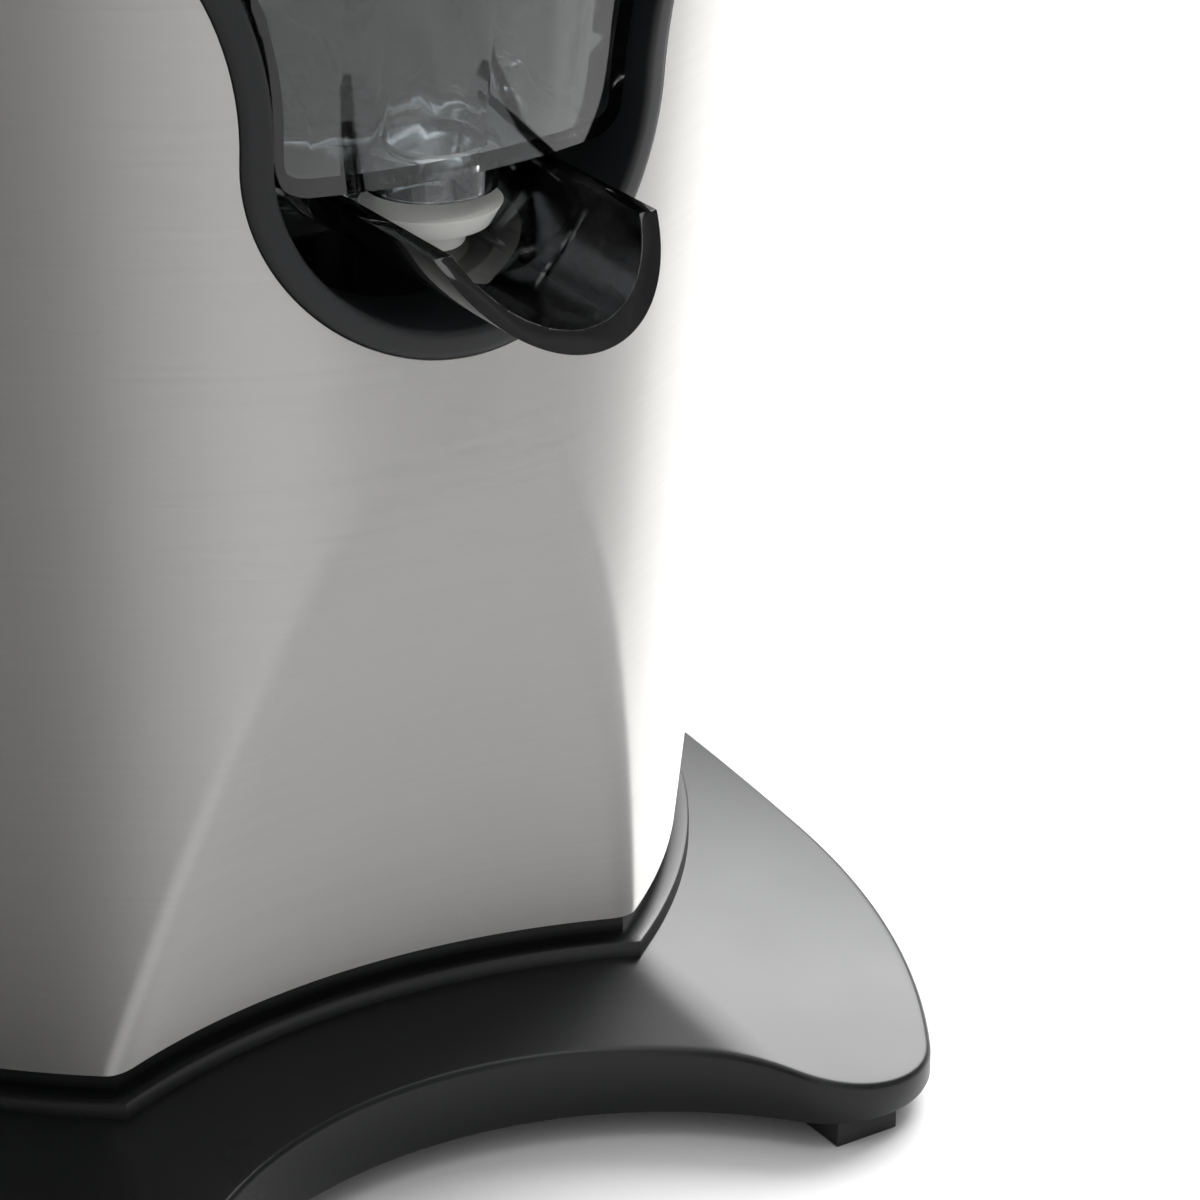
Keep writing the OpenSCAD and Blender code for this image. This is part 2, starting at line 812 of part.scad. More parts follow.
module at_motor_screws() {
    at_motor() for (a = [40, 110, 180]) translate(polar(motor_screw_r, a)) children();
}

module motor_can() {
    placed() color([0.55, 0.56, 0.58])
        difference() {
            motor_barrel();
            at_motor_screws() translate([0, 0, case_z - 8]) cylinder(r = screw_core_r, h = 20);
        }
}

module motor_barrel() {
    at_motor() difference() {
        union() {
            translate([0, 0, motor_z]) cylinder(r = motor_r, h = case_z - motor_z);
            translate([0, 0, case_z - eps]) cylinder(r = motor_neck_r, h = case_floor_t);
        }
        translate([0, 0, motor_z - 1]) cylinder(r = motor_r - can_t, h = case_z - motor_z - can_t + 1);
        cylinder(r = motor_shaft_r + run_gap, h = far);
        for (a = [45:90:359]) rotate(a) translate([motor_r - 4, -5, motor_z + 14]) cube([8, 10, 26]);
    }
}

module motor_end_cap() {
    placed() color([0.12, 0.12, 0.13])
        at_motor() difference() {
            translate([0, 0, motor_z]) cylinder(r = motor_r - can_t - eps, h = end_cap_t);
            translate([0, 0, motor_z - 1]) cylinder(r = motor_shaft_r + run_gap, h = 20);
            for (a = [0:45:359]) rotate(a) translate([15, 0, motor_z - 1]) cylinder(r = 3, h = 20);
        }
}

module motor_magnets() {
    placed() color([0.2, 0.2, 0.21])
        at_motor() for (s = [0, 180]) rotate(s)
            translate([0, 0, motor_z + end_cap_t + 4]) difference() {
                intersection() {
                    cylinder(r = motor_r - can_t - 0.1, h = magnet_l);
                    translate([6, -17, 0]) cube([40, 34, magnet_l]);
                }
                translate([0, 0, -1]) cylinder(r = rotor_r + 0.8, h = magnet_l + 2);
            }
}

module motor_rotor() {
    placed() color([0.55, 0.4, 0.25])
        at_motor() {
            translate([0, 0, motor_z - fan_drop])
                cylinder(r = motor_shaft_r, h = gear_z + gear_w - motor_z + fan_drop + 0.5);
            translate([0, 0, motor_z + end_cap_t + 6]) cylinder(r = rotor_r, h = magnet_l - 4);
            translate([0, 0, motor_z + end_cap_t + magnet_l + 3]) cylinder(r = 9, h = 7);
        }
}

module motor_pinion() {
    placed() color([0.7, 0.62, 0.35])
        at_motor() translate([0, 0, gear_z - 0.5]) difference() {
            rotate(pinion_turn) gear(pinion_teeth, motor_m, gear_w + 1);
            translate([0, 0, -1]) cylinder(r = motor_shaft_r + eps, h = 40);
        }
}

module cooling_fan() {
    placed() color([0.1, 0.1, 0.11])
        at_motor() translate([0, 0, motor_z - fan_drop]) difference() {
            union() {
                cylinder(r = 7, h = fan_w);
                cylinder(r = fan_r, h = 1.5);
                for (a = [0:36:359]) rotate(a) translate([6, -0.6, 0]) cube([fan_r - 6.5, 1.2, fan_w]);
            }
            translate([0, 0, -1]) cylinder(r = motor_shaft_r + eps, h = 40);
        }
}

module motor_screws() {
    placed() color([0.5, 0.5, 0.52])
        at_motor_screws() {
            translate([0, 0, case_z + case_floor_t]) cylinder(r = screw_head_r, h = screw_head_h);
            translate([0, 0, case_z - 6]) cylinder(r = screw_core_r - eps, h = case_floor_t + 6);
        }
}

// ---- spindle, spring and switch ----

module spindle() {
    placed() color([0.75, 0.75, 0.77])
        at_output() {
            translate([0, 0, disc_z]) cylinder(r = disc_r, h = disc_t);
            translate([0, 0, disc_z + disc_t - eps])
                cylinder(r = hex_r, h = neck_z - disc_z - disc_t + eps, $fn = 6);
            translate([0, 0, neck_z - eps]) cylinder(r = spindle_r, h = drive_z - neck_z + eps);
            translate([0, 0, drive_z - eps]) cylinder(r = drive_r, h = drive_l + eps, $fn = 6);
        }
}

module spindle_bush() {
    placed() color([0.7, 0.55, 0.3])
        at_output() translate([0, 0, deck_z]) difference() {
            cylinder(r = bush_r - eps, h = boss_top - deck_z - seal_h);
            translate([0, 0, -1]) cylinder(r = spindle_r + run_gap, h = 60);
        }
}

module shaft_seal() {
    placed() color([0.6, 0.12, 0.1])
        at_output() translate([0, 0, boss_top - seal_h]) difference() {
            cylinder(r = bush_r - eps, h = seal_h);
            translate([0, 0, -1]) cylinder(r = spindle_r + run_gap, h = 60);
        }
}

// Points of one turn round a wire of radius w at angle a on a coil of radius r
function wire_ring(r, w, a, z) = [for (k = [0:7])
    [(r + w * cos(45 * k)) * cos(a), (r + w * cos(45 * k)) * sin(a), z + w * sin(45 * k)]];

module coil(r, w, turns, h) {
    steps = turns * 14;
    points = [for (i = [0:steps])
        each wire_ring(r, w, 360 * turns * i / steps, w + (h - 2 * w) * i / steps)];
    sides = [for (i = [0:steps - 1], k = [0:7]) let (n = (k + 1) % 8)
        [8 * i + k, 8 * i + n, 8 * (i + 1) + n, 8 * (i + 1) + k]];
    polyhedron(points, concat([for (f = sides) [f[3], f[2], f[1], f[0]]], [[for (k = [0:7]) k]],
               [[for (k = [7:-1:0]) 8 * steps + k]]));
}

module return_spring() {
    placed() color([0.7, 0.7, 0.72])
        at_output() translate([0, 0, spring_z]) coil(spring_r, 0.6, 5, disc_z - spring_z - 0.05);
}

module at_bracket_screws() {
    at_output() for (s = [-1, 1]) translate([s * bracket_x, 0, 0]) children();
}

module switch_bracket() {
    placed() color([0.62, 0.63, 0.65])
        at_output() difference() {
            union() {
                translate([-bracket_x - 4, -7, spring_z - 1.5]) cube([2 * bracket_x + 8, 14, 1.5]);
                for (s = [-1, 1]) {
                    translate([s * (bracket_x - 6) - 0.75, -7, spring_z - 1.5])
                        cube([1.5, 14, case_z - spring_z + 1.5]);
                    translate([s * bracket_x - 6, -7, case_z - 1.5]) cube([12, 14, 1.5]);
                }
            }
            for (s = [-1, 1]) translate([s * bracket_x, 0, 0]) cylinder(r = screw_r, h = far);
            translate([-bracket_x - 5, -8, spring_z - 3]) cube([8, 16, 6]);
            translate([bracket_x - 3, -8, spring_z - 3]) cube([8, 16, 6]);
        }
}

module bracket_screws() {
    placed() color([0.5, 0.5, 0.52])
        at_bracket_screws() {
            translate([0, 0, case_z - 1.5 - screw_head_h]) cylinder(r = screw_head_r, h = screw_head_h);
            translate([0, 0, case_z - 1.5]) cylinder(r = screw_core_r - eps, h = 4);
        }
}

module micro_switch() {
    placed() color([0.08, 0.08, 0.09])
        at_output() difference() {
            translate([switch_x - 3, -5, spring_z]) cube([6, 10, switch_h]);
            translate([switch_x, 0, spring_z + 2]) cylinder(r = plunger_r + run_gap, h = 40);
        }
}

module switch_plunger() {
    placed() color([0.85, 0.2, 0.15])
        at_output() translate([switch_x, 0, spring_z + 5])
            cylinder(r = plunger_r, h = disc_z - spring_z - 5 - 0.05);
}

module control_board() {
    placed() color([0.1, 0.35, 0.18])
        translate([board_x, board_y, deck_z - board_h]) cube([board_t, board_l, board_h - eps]);
    placed() color([0.1, 0.1, 0.1]) {
        translate([board_x + board_t - eps, board_y + 6, deck_z - board_h + 8]) cube([8, 12, 16]);
        translate([board_x + board_t - eps, board_y + 26, deck_z - board_h + 12]) cube([6, 10, 10]);
    }
}

// ---- bowl, spout and filter ----

module bowl_profile_out() {
    polygon([[0, bowl_z], [bowl_floor_r, bowl_z], [bowl_low_r, bowl_z + bowl_knee],
             [bowl_low_r, ledge_z - 3], [bowl_r, ledge_z], [bowl_r, bowl_top], [0, bowl_top]]);
}

module bowl_profile_in() {
    polygon([[0, bowl_z + clear_t], [bowl_floor_r - 1, bowl_z + clear_t],
             [bowl_low_r - clear_t, bowl_z + bowl_knee + 1], [bowl_low_r - clear_t, ledge_z],
             [bowl_r - clear_t, ledge_z], [bowl_r - clear_t, bowl_top + 1], [0, bowl_top + 1]]);
}

// Front outline of the snout, flat below and matching the mouth at its sides
module snout_outline(inset) {
    intersection() {
        union() {
            mouth(bezel_w + snout_gap + inset, skin_top);
            translate([-snout_top_w + inset, skin_top - 1])
                square([2 * (snout_top_w - inset), ring_top - skin_top + 1 - inset]);
        }
        union() {
            translate([-far, bowl_z + snout_corner_r]) square([2 * far, far]);
            translate([-panel_half + snout_corner_r, bowl_z + inset])
                square([2 * (panel_half - snout_corner_r), far]);
            for (s = [-1, 1]) translate([s * (panel_half - snout_corner_r), bowl_z + snout_corner_r])
                circle(snout_corner_r - inset);
        }
    }
}

module snout_solid(inset) {
    intersection() {
        translate([0, ya, 0]) rotate([90, 0, 0]) linear_extrude(far) snout_outline(inset);
        oval_tower(bowl_z - 5, ring_top + 5, -panel_gap - inset);
    }
}

module juice_bowl() {
    placed() color([0.75, 0.8, 0.82, 0.4])
        difference() {
            union() {
                at_output() rotate_extrude() bowl_profile_out();
                snout_solid(0);
                translate([0, outlet_y, bowl_z - outlet_h]) cylinder(r = outlet_r, h = outlet_h + 1);
                // ears for the spout's pin
                for (s = [-1, 1]) translate([s * ear_x - 1.5, pivot_y - 4, pivot_z - 3.4])
                    cube([3, 8, bowl_z - pivot_z + 4.4]);
                at_output() cylinder(r = chimney_r + clear_t, h = chimney_top);
            }
            difference() {
                union() {
                    at_output() rotate_extrude() bowl_profile_in();
                    snout_solid(clear_t);
                }
                at_output() cylinder(r = chimney_r + clear_t, h = chimney_top);
            }
            at_output() cylinder(r = chimney_r, h = far);
            at_output() translate([0, 0, -1]) cylinder(r = 2 * chimney_r, h = bowl_z + 1);
            translate([0, outlet_y, bowl_z - outlet_h - 1]) cylinder(r = outlet_r - clear_t, h = 20);
            translate([-30, pivot_y, pivot_z]) rotate([0, 90, 0]) cylinder(r = pivot_r, h = 60);
        }
}

// Cross-section of the spout's trough
module trough_section() {
    intersection() {
        translate([0, spout_low_z + spout_r]) circle(spout_r);
        translate([-far, spout_low_z - 1]) square([2 * far, spout_depth + 1]);
    }
}

// Slanted cut that rounds the spout's end
module spout_end() {
    over = 0.3;
    translate([-far / 2, 0, 0]) rotate([90, 0, 90]) linear_extrude(far)
        polygon([[-spout_reach + (1 + over) * spout_lip, spout_rim_z + over * spout_depth],
                 [-spout_reach - spout_lip, spout_rim_z + over * spout_depth],
                 [-spout_reach - spout_lip, spout_low_z - over * spout_depth],
                 [-spout_reach - over * spout_lip, spout_low_z - over * spout_depth]]);
}

module spout() {
    placed() color([0.8, 0.84, 0.86, 0.4])
        difference() {
            union() {
                difference() {
                    translate([0, trough_back_y, 0]) rotate([90, 0, 0])
                        linear_extrude(trough_back_y + spout_reach) trough_section();
                    translate([0, trough_back_y - clear_t, spout_low_z + spout_r]) rotate([90, 0, 0])
                        cylinder(r = spout_r - clear_t, h = far);
                    spout_end();
                }
                // knuckle that turns on the pin
                translate([-knuckle_w, pivot_y, pivot_z]) rotate([0, 90, 0])
                    cylinder(r = knuckle_r, h = 2 * knuckle_w);
                translate([-knuckle_w, pivot_y - knuckle_r, pivot_z - 8])
                    cube([2 * knuckle_w, knuckle_r, 8]);
            }
            translate([-far / 2, pivot_y, pivot_z]) rotate([0, 90, 0])
                cylinder(r = pivot_r + run_gap, h = far);
        }
}

module spout_pin() {
    placed() color([0.75, 0.75, 0.77])
        translate([-ear_x - 1.5, pivot_y, pivot_z]) rotate([0, 90, 0])
            cylinder(r = pivot_r - eps, h = 2 * ear_x + 3);
}

module drip_pad() {
    placed() color([0.92, 0.92, 0.9])
        translate([0, outlet_y, 0]) {
            translate([0, 0, pad_z]) cylinder(r1 = outlet_r - 1, r2 = outlet_r + 0.5, h = pad_t);
            // the stem's foot follows the curve of the trough
            intersection() {
                translate([0, 0, spout_low_z]) cylinder(r = 4, h = pad_z - spout_low_z + eps);
                translate([0, 10, spout_low_z + spout_r]) rotate([90, 0, 0])
                    cylinder(r = spout_r - clear_t - eps, h = 20);
            }
        }
}

module filter() {
    placed() color([0.75, 0.75, 0.76])
        at_output() difference() {
            rotate_extrude() polygon([
                [filter_hole_r, filter_z], [filter_r, filter_z], [filter_rim_r, ledge_z + 0.2],
                [bowl_r - clear_t - 0.5, ledge_z + 0.2], [bowl_r - clear_t - 0.5, ledge_z + 1.4],
                [filter_rim_r - 1, ledge_z + 1.4], [filter_r - 1, filter_z + 1.2],
                [filter_hole_r, filter_z + 1.2]]);
            for (i = [0:slot_count - 1]) rotate(360 / slot_count * i) {
                translate([filter_hole_r + 4, -0.8, filter_z - 1]) cube([11, 1.6, 4]);
                translate([filter_hole_r + 19, -0.8, filter_z - 1])
                    cube([filter_r - filter_hole_r - 23, 1.6, 4]);
            }
        }
}

module reamer() {
    placed() color([0.07, 0.07, 0.075])
        at_output() difference() {
            union() {
                rotate_extrude() polygon([
                    [skirt_r, cone_z - skirt_h], [skirt_r, cone_z], [cone_r, cone_z], [cone_r, cone_z + 2],
                    [cone_r - 3, cone_z + 4], [cone_r - 8, cone_z + cone_h * 0.4],
                    [cone_r - 16, cone_z + cone_h * 0.75], [7, cone_z + cone_h * 0.94],
                    [3, cone_z + cone_h], [0, cone_z + cone_h], [0, cone_z - skirt_h]]);
                for (i = [0:cone_ribs - 1]) rotate(360 / cone_ribs * i) translate([0, 1.2, 0])
                    rotate([90, 0, 0]) linear_extrude(2.4)
                        polygon([[0, cone_z + 2], [cone_r - 1, cone_z + 2],
                                 [cone_r - 5, cone_z + cone_h * 0.4],
                                 [cone_r - 13, cone_z + cone_h * 0.75], [9.5, cone_z + cone_h * 0.95],
                                 [0, cone_z + cone_h * 0.98]]);
            }
            // hollow underside and the socket that the spindle drives
            difference() {
                translate([0, 0, cone_z - skirt_h - 1]) cylinder(r = skirt_r - cone_t, h = skirt_h + 1);
                cylinder(r = drive_r + socket_t, h = far);
            }
            difference() {
                translate([0, 0, cone_z - eps]) cylinder(r1 = skirt_r - cone_t, r2 = 6, h = cone_h - 12);
                cylinder(r = drive_r + socket_t, h = far);
            }
            translate([0, 0, cone_z - skirt_h - 1])
                cylinder(r = drive_r + drive_gap, h = drive_z + drive_l - cone_z + skirt_h + 1, $fn = 6);
        }
}

// ---- press arm ----

module hinge_bracket() {
    placed() color([0.08, 0.08, 0.085])
        difference() {
            union() {
                translate([-bracket_half, hinge_back - 22, ring_top]) cube([2 * bracket_half, 40, 5]);
                for (s = [-1, 1]) translate([s * (arm_w / 2 + ear_gap + ear_t / 2) - ear_t / 2, 0, 0])
                    rotate([90, 0, 90]) linear_extrude(ear_t) {
                        translate([hinge_back, hinge_z]) circle(ear_r);
                        polygon([[hinge_back - 18, ring_top + 4], [hinge_back + 16, ring_top + 4],
                                 [hinge_back + ear_r, hinge_z], [hinge_back - ear_r, hinge_z]]);
                    }
            }
            translate([-far / 2, hinge_back, hinge_z]) rotate([0, 90, 0])
                cylinder(r = hinge_r + 0.02, h = far);
            for (s = [-1, 1]) translate([s * bracket_screw_x, hinge_back, ring_top - 1])
                cylinder(r = screw_core_r, h = 12);
        }
}

module bracket_bolts() {
    placed() color([0.5, 0.5, 0.52])
        for (s = [-1, 1]) translate([s * bracket_screw_x, hinge_back, 0]) {
            translate([0, 0, ring_top - ring_t - screw_head_h])
                cylinder(r = screw_head_r, h = screw_head_h);
            translate([0, 0, ring_top - ring_t]) cylinder(r = screw_core_r - eps, h = ring_t + 4);
        }
}

module hinge_pin() {
    pin_half = arm_w / 2 + ear_gap + ear_t + 1;
    placed() color([0.78, 0.78, 0.8])
        translate([-pin_half, hinge_back, hinge_z]) rotate([0, 90, 0])
            cylinder(r = hinge_r, h = 2 * pin_half);
}

module press_arm() {
    placed() color([0.7, 0.7, 0.71])
        difference() {
            union() {
                translate([-arm_w / 2, 0, 0]) rotate([90, 0, 90]) linear_extrude(arm_w) {
                    translate([hinge_back, hinge_z]) circle(arm_hub_r);
                    translate([ya, yoke_z]) circle(10);
                    polygon([[hinge_back + 9, hinge_z + 9], [hinge_back - 14, arm_top - 3],
                             [hinge_back - 30, arm_top], [ya - 30, arm_top], [ya - grip_back, arm_top - 1],
                             [ya - grip_back, arm_top - 15], [ya - 30, arm_top - 16], [ya - 8, yoke_z - 6],
                             [ya + 8, yoke_z - 6], [ya + 30, arm_top - 17], [hinge_back - 30, arm_top - 18],
                             [hinge_back - 9, hinge_z - 9]]);
                }
                grip_axis() translate([0, 0, -12]) cylinder(r = tang_r, h = tang_l + 12);
            }
            translate([-far / 2, hinge_back, hinge_z]) rotate([0, 90, 0])
                cylinder(r = hinge_r + run_gap, h = far);
            // yoke for the dome's lug
            translate([-lug_w / 2 - 0.4, ya - 14, yoke_z - 20]) cube([lug_w + 0.8, 28, 20 + 9.5]);
            translate([-far / 2, ya, yoke_z]) rotate([0, 90, 0]) cylinder(r = yoke_r + 0.02, h = far);
        }
}

// Frame whose +Z runs forward along the hand grip
module grip_axis() {
    translate([0, ya - grip_back, arm_top - 8]) rotate([90 - grip_rise, 0, 0]) children();
}

module arm_grip() {
    placed() color([0.06, 0.06, 0.065])
        grip_axis() difference() {
            rotate_extrude() polygon([[0, grip_start], [grip_r - 4, grip_start], [grip_r - 1, 4],
                [grip_r, 14],
                [grip_r - 0.5, 40], [grip_r, tang_l - 6], [grip_r - 3, tang_l + 3],
                [grip_nose_r, tang_l + grip_over], [0, tang_l + grip_over]]);
            translate([0, 0, -1]) cylinder(r = tang_r + 0.05, h = tang_l + 1.5);
        }
}

module yoke_pin() {
    placed() color([0.78, 0.78, 0.8])
        translate([-arm_w / 2 + 0.5, ya, yoke_z]) rotate([0, 90, 0]) cylinder(r = yoke_r, h = arm_w - 1);
}

// Half a ball that stands on a short cylinder
module dome_form(r, skirt) {
    rotate_extrude() intersection() {
        union() {
            circle(r);
            translate([0, -skirt]) square([r, skirt]);
        }
        translate([0, -skirt]) square([r, skirt + r]);
    }
}

module press_dome() {
    placed() color([0.75, 0.75, 0.76])
        at_output() difference() {
            union() {
                translate([0, 0, dome_z]) dome_form(dome_r, dome_skirt);
                translate([-lug_w / 2, 0, 0]) rotate([90, 0, 90]) linear_extrude(lug_w) {
                    translate([0, yoke_z]) circle(7);
                    translate([-7, dome_z + dome_r - 6]) square([14, yoke_z - dome_z - dome_r + 6]);
                }
            }
            translate([0, 0, dome_z]) dome_form(dome_r - dome_t, dome_skirt + 1);
            translate([-far / 2, 0, yoke_z]) rotate([0, 90, 0]) cylinder(r = yoke_r + run_gap, h = far);
        }
}

base();
bottom_cover();
cover_screws();
front_foot(-1);  // foot_front_left
front_foot(1);  // foot_front_right
rear_foot(-1);  // foot_rear_left
rear_foot(1);  // foot_rear_right
body_skin();
spout_bezel();
deck();
recess_liner();
post_screws();
top_ring();
cord_gland();
gearbox_case();
gearbox_cover();
gearbox_screws();
output_gear();
idler_gear();
idler_pin();
motor_can();
motor_end_cap();
motor_magnets();
motor_rotor();
motor_pinion();
cooling_fan();
motor_screws();
spindle();
spindle_bush();
shaft_seal();
return_spring();
switch_bracket();
bracket_screws();
micro_switch();
switch_plunger();
control_board();
juice_bowl();
spout();
spout_pin();
drip_pad();
filter();
reamer();
hinge_bracket();
bracket_bolts();
hinge_pin();
press_arm();
arm_grip();
yoke_pin();
press_dome();
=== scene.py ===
"""Looks of an electric citrus press with a lever arm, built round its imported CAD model."""
import json
import math

import bmesh
import bpy
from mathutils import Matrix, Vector


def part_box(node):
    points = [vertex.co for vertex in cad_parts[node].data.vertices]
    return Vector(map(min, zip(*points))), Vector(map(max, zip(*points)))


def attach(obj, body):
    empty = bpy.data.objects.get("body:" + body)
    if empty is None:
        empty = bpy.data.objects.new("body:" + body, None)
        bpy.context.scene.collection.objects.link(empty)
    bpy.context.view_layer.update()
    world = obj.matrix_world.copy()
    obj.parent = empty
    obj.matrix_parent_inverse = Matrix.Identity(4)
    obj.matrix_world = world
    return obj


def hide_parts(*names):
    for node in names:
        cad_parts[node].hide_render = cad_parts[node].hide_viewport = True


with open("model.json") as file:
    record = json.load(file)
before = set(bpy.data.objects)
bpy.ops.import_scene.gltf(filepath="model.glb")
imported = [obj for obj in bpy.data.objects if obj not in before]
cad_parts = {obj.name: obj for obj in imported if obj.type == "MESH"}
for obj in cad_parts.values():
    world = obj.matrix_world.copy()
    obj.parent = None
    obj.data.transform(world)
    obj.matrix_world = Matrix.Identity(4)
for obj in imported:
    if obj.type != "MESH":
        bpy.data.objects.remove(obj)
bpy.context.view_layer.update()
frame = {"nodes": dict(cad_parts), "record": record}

bl_info = {
    "name": "Citrus press",
    "version": (1, 0, 0),
    "blender": (4, 5, 0),
    "location": "View3D > Sidebar > Citrus press",
    "description": "Builds the visible pieces and finishes of a lever-arm citrus press",
    "category": "Object",
}

MM = 0.001
# distance beyond anything here, in millimetres
FAR = 1e6


# ---- places taken from the frame, in millimetres ----

def span(node):
    """Lowest and highest corner of a CAD node in millimetres."""
    low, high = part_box(node)
    return low / MM, high / MM


deck_low, deck_high = span("deck")
MIDDLE_Y = (deck_low.y + deck_high.y) / 2
skin_low, skin_high = span("body_skin")

SKIN_Z = skin_low.z
SKIN_TOP = skin_high.z
FOOT_H = span("base")[0].z


class PressSizes(bpy.types.PropertyGroup):
    """Sizes of the visible pieces that the frame's boxes don't give, in millimetres."""

    flare: bpy.props.FloatProperty(
        name="Flare", description="Outward growth of the body for each millimetre of height",
        default=0.107, min=0.0, max=0.3, precision=3)
    nose_r: bpy.props.FloatProperty(
        name="Nose radius", description="Radius of the oval's nose in millimetres",
        default=55.0, min=30.0, max=70.0)
    scoop_depth: bpy.props.FloatProperty(
        name="Scoop depth",
        description="Depth of the front hollow at the skin's lower edge, in millimetres",
        default=22.4, min=5.0, max=40.0)
    scoop_r: bpy.props.FloatProperty(
        name="Scoop radius", description="Radius of the cylinder that hollows the front, in millimetres",
        default=101.5, min=60.0, max=160.0)
    scoop_lean: bpy.props.FloatProperty(
        name="Scoop lean", description="Forward lean of the front hollow",
        default=math.radians(20.9), subtype="ANGLE")
    crease: bpy.props.FloatProperty(
        name="Crease", description="Softness of the pressed crease round the hollow, in millimetres",
        default=2.6, min=0.2, max=8.0)
    mouth_drop: bpy.props.FloatProperty(
        name="Mouth drop",
        description="Depth of the mouth's round end below the skin's upper edge, in millimetres",
        default=42.5, min=20.0, max=80.0)
    mouth_r: bpy.props.FloatProperty(
        name="Mouth radius", description="Radius of the mouth's round end in millimetres",
        default=28.4, min=15.0, max=40.0)
    mouth_flare_r: bpy.props.FloatProperty(
        name="Mouth flare", description="Radius of the flare at each side of the mouth, in millimetres",
        default=46.0, min=30.0, max=70.0)
    bezel_w: bpy.props.FloatProperty(
        name="Bezel width", description="Width of the bezel round the mouth, in millimetres",
        default=3.7, min=1.0, max=8.0)
    bezel_depth: bpy.props.FloatProperty(
        name="Bezel depth", description="Depth of the bezel into the body, in millimetres",
        default=13.0, min=4.0, max=20.0)
    edge_r: bpy.props.FloatProperty(
        name="Edge radius", description="Rounding of the base's upper edge, in millimetres",
        default=0.8, min=0.2, max=3.0)


class PressFinishes(bpy.types.PropertyGroup):
    """Colours of the finishes, as they look on screen."""

    steel: bpy.props.StringProperty(
        name="Steel", description="Brushed stainless steel, sRGB hex", default="#CBCAC8")
    black: bpy.props.StringProperty(
        name="Black plastic", description="Moulded ABS, sRGB hex", default="#101113")
    bezel: bpy.props.StringProperty(
        name="Bezel", description="Matte ABS of the bezel, sRGB hex", default="#1F2022")
    alloy: bpy.props.StringProperty(
        name="Arm", description="Satin cast aluminium, sRGB hex", default="#C4C5C7")
    clear: bpy.props.StringProperty(
        name="Clear plastic", description="Polycarbonate, sRGB hex", default="#EEF1F2")
    silicone: bpy.props.StringProperty(
        name="Silicone", description="Valve and seals, sRGB hex", default="#E9E8E3")


def sizes():
    """The sizes as they are set in this scene."""
    return bpy.context.scene.press_sizes


def finishes():
    """The colours as they are set in this scene."""
    return bpy.context.scene.press_finishes


# ---- outlines of the body ----

class Body:
    """The tapered oval body with its leaning hollow; every value is in millimetres."""

    def __init__(self):
        s = sizes()
        self.flare = s.flare
        self.half_w = skin_high.x - s.flare * (SKIN_TOP - SKIN_Z)
        self.reach = skin_high.y - MIDDLE_Y - s.flare * (SKIN_TOP - SKIN_Z)
        self.nose_r = s.nose_r
        self.nose_c = self.reach - s.nose_r
        step = self.half_w - s.nose_r
        self.side_c = (self.nose_c ** 2 - step ** 2) / (2 * step)
        self.side_r = self.side_c + self.half_w
        self.scoop_r = s.scoop_r
        self.lean = s.scoop_lean
        self.scoop_reach = self.reach - s.scoop_depth
        self.mouth_z = SKIN_TOP - s.mouth_drop
        self.mouth_r = s.mouth_r
        self.flare_r = s.mouth_flare_r
        self.flare_x = s.mouth_r + s.mouth_flare_r

    def growth(self, z, off=0.0):
        return off + self.flare * (z - SKIN_Z)

    def oval(self, angle, z=SKIN_Z, off=0.0):
        """Distance from the middle to the oval in the direction angle, 0 towards +X."""
        u = Vector((math.cos(angle), math.sin(angle)))
        g = self.growth(z, off)
        side = math.copysign(1.0, u.y)
        centre = Vector((0.0, side * self.nose_c))
        r = reach_of_circle(u, centre, self.nose_r + g)
        if r is not None:
            p = u * r
            if abs(p.x) <= (abs(p.y) - self.nose_c) * self.side_c / self.nose_c:
                return r
        centre = Vector((-math.copysign(self.side_c, u.x), 0.0))
        return reach_of_circle(u, centre, self.side_r + g)

    def scoop(self, angle, z):
        """Distance from the middle to the hollow's surface, or a large number where it misses."""
        if math.sin(angle) >= 0:
            return FAR
        a = self.scoop_r
        b = self.scoop_r / math.cos(self.lean)
        yc = -self.scoop_reach - b - (z - SKIN_Z) * math.tan(self.lean)
        ux, uy = math.cos(angle) / a, math.sin(angle) / b
        c = -yc / b
        k = ux * ux + uy * uy
        h = uy * c
        d = h * h - k * (c * c - 1)
        if d < 0:
            return FAR
        return (-h - math.sqrt(d)) / k

    def front_y(self, x, z, off=0.0):
        """Y of the oval's front surface above the point x."""
        g = self.growth(z, off)
        y = self.nose_c + math.sqrt(max((self.nose_r + g) ** 2 - x * x, 0.0))
        if abs(x) <= (y - self.nose_c) * self.side_c / self.nose_c:
            return -y
        return -math.sqrt(max((self.side_r + g) ** 2 - (abs(x) + self.side_c) ** 2, 0.0))

    def distance(self, x, y, z=SKIN_Z):
        """Distance of a point in plan outside the oval."""
        if abs(x) <= (abs(y) - self.nose_c) * self.side_c / self.nose_c:
            return math.hypot(x, abs(y) - self.nose_c) - self.nose_r - self.growth(z)
        return math.hypot(abs(x) + self.side_c, y) - self.side_r - self.growth(z)

    def mouth_line(self, inset, top, arc_steps=40, flare_steps=28):
        """Points (x, z) of the mouth's edge from the upper left, round below, to the upper right."""
        right = []
        r = self.mouth_r - inset
        for i in range(arc_steps + 1):
            a = math.pi / 2 * i / arc_steps
            right.append((r * math.sin(a), self.mouth_z - r * math.cos(a)))
        r = self.flare_r + inset
        end = math.asin(min(1.0, (top - self.mouth_z) / r))
        for i in range(1, flare_steps + 1):
            a = math.pi - end * i / flare_steps
            right.append((self.flare_x + r * math.cos(a), self.mouth_z + r * math.sin(a)))
        left = [(-x, z) for x, z in right[:0:-1]]
        return left + right


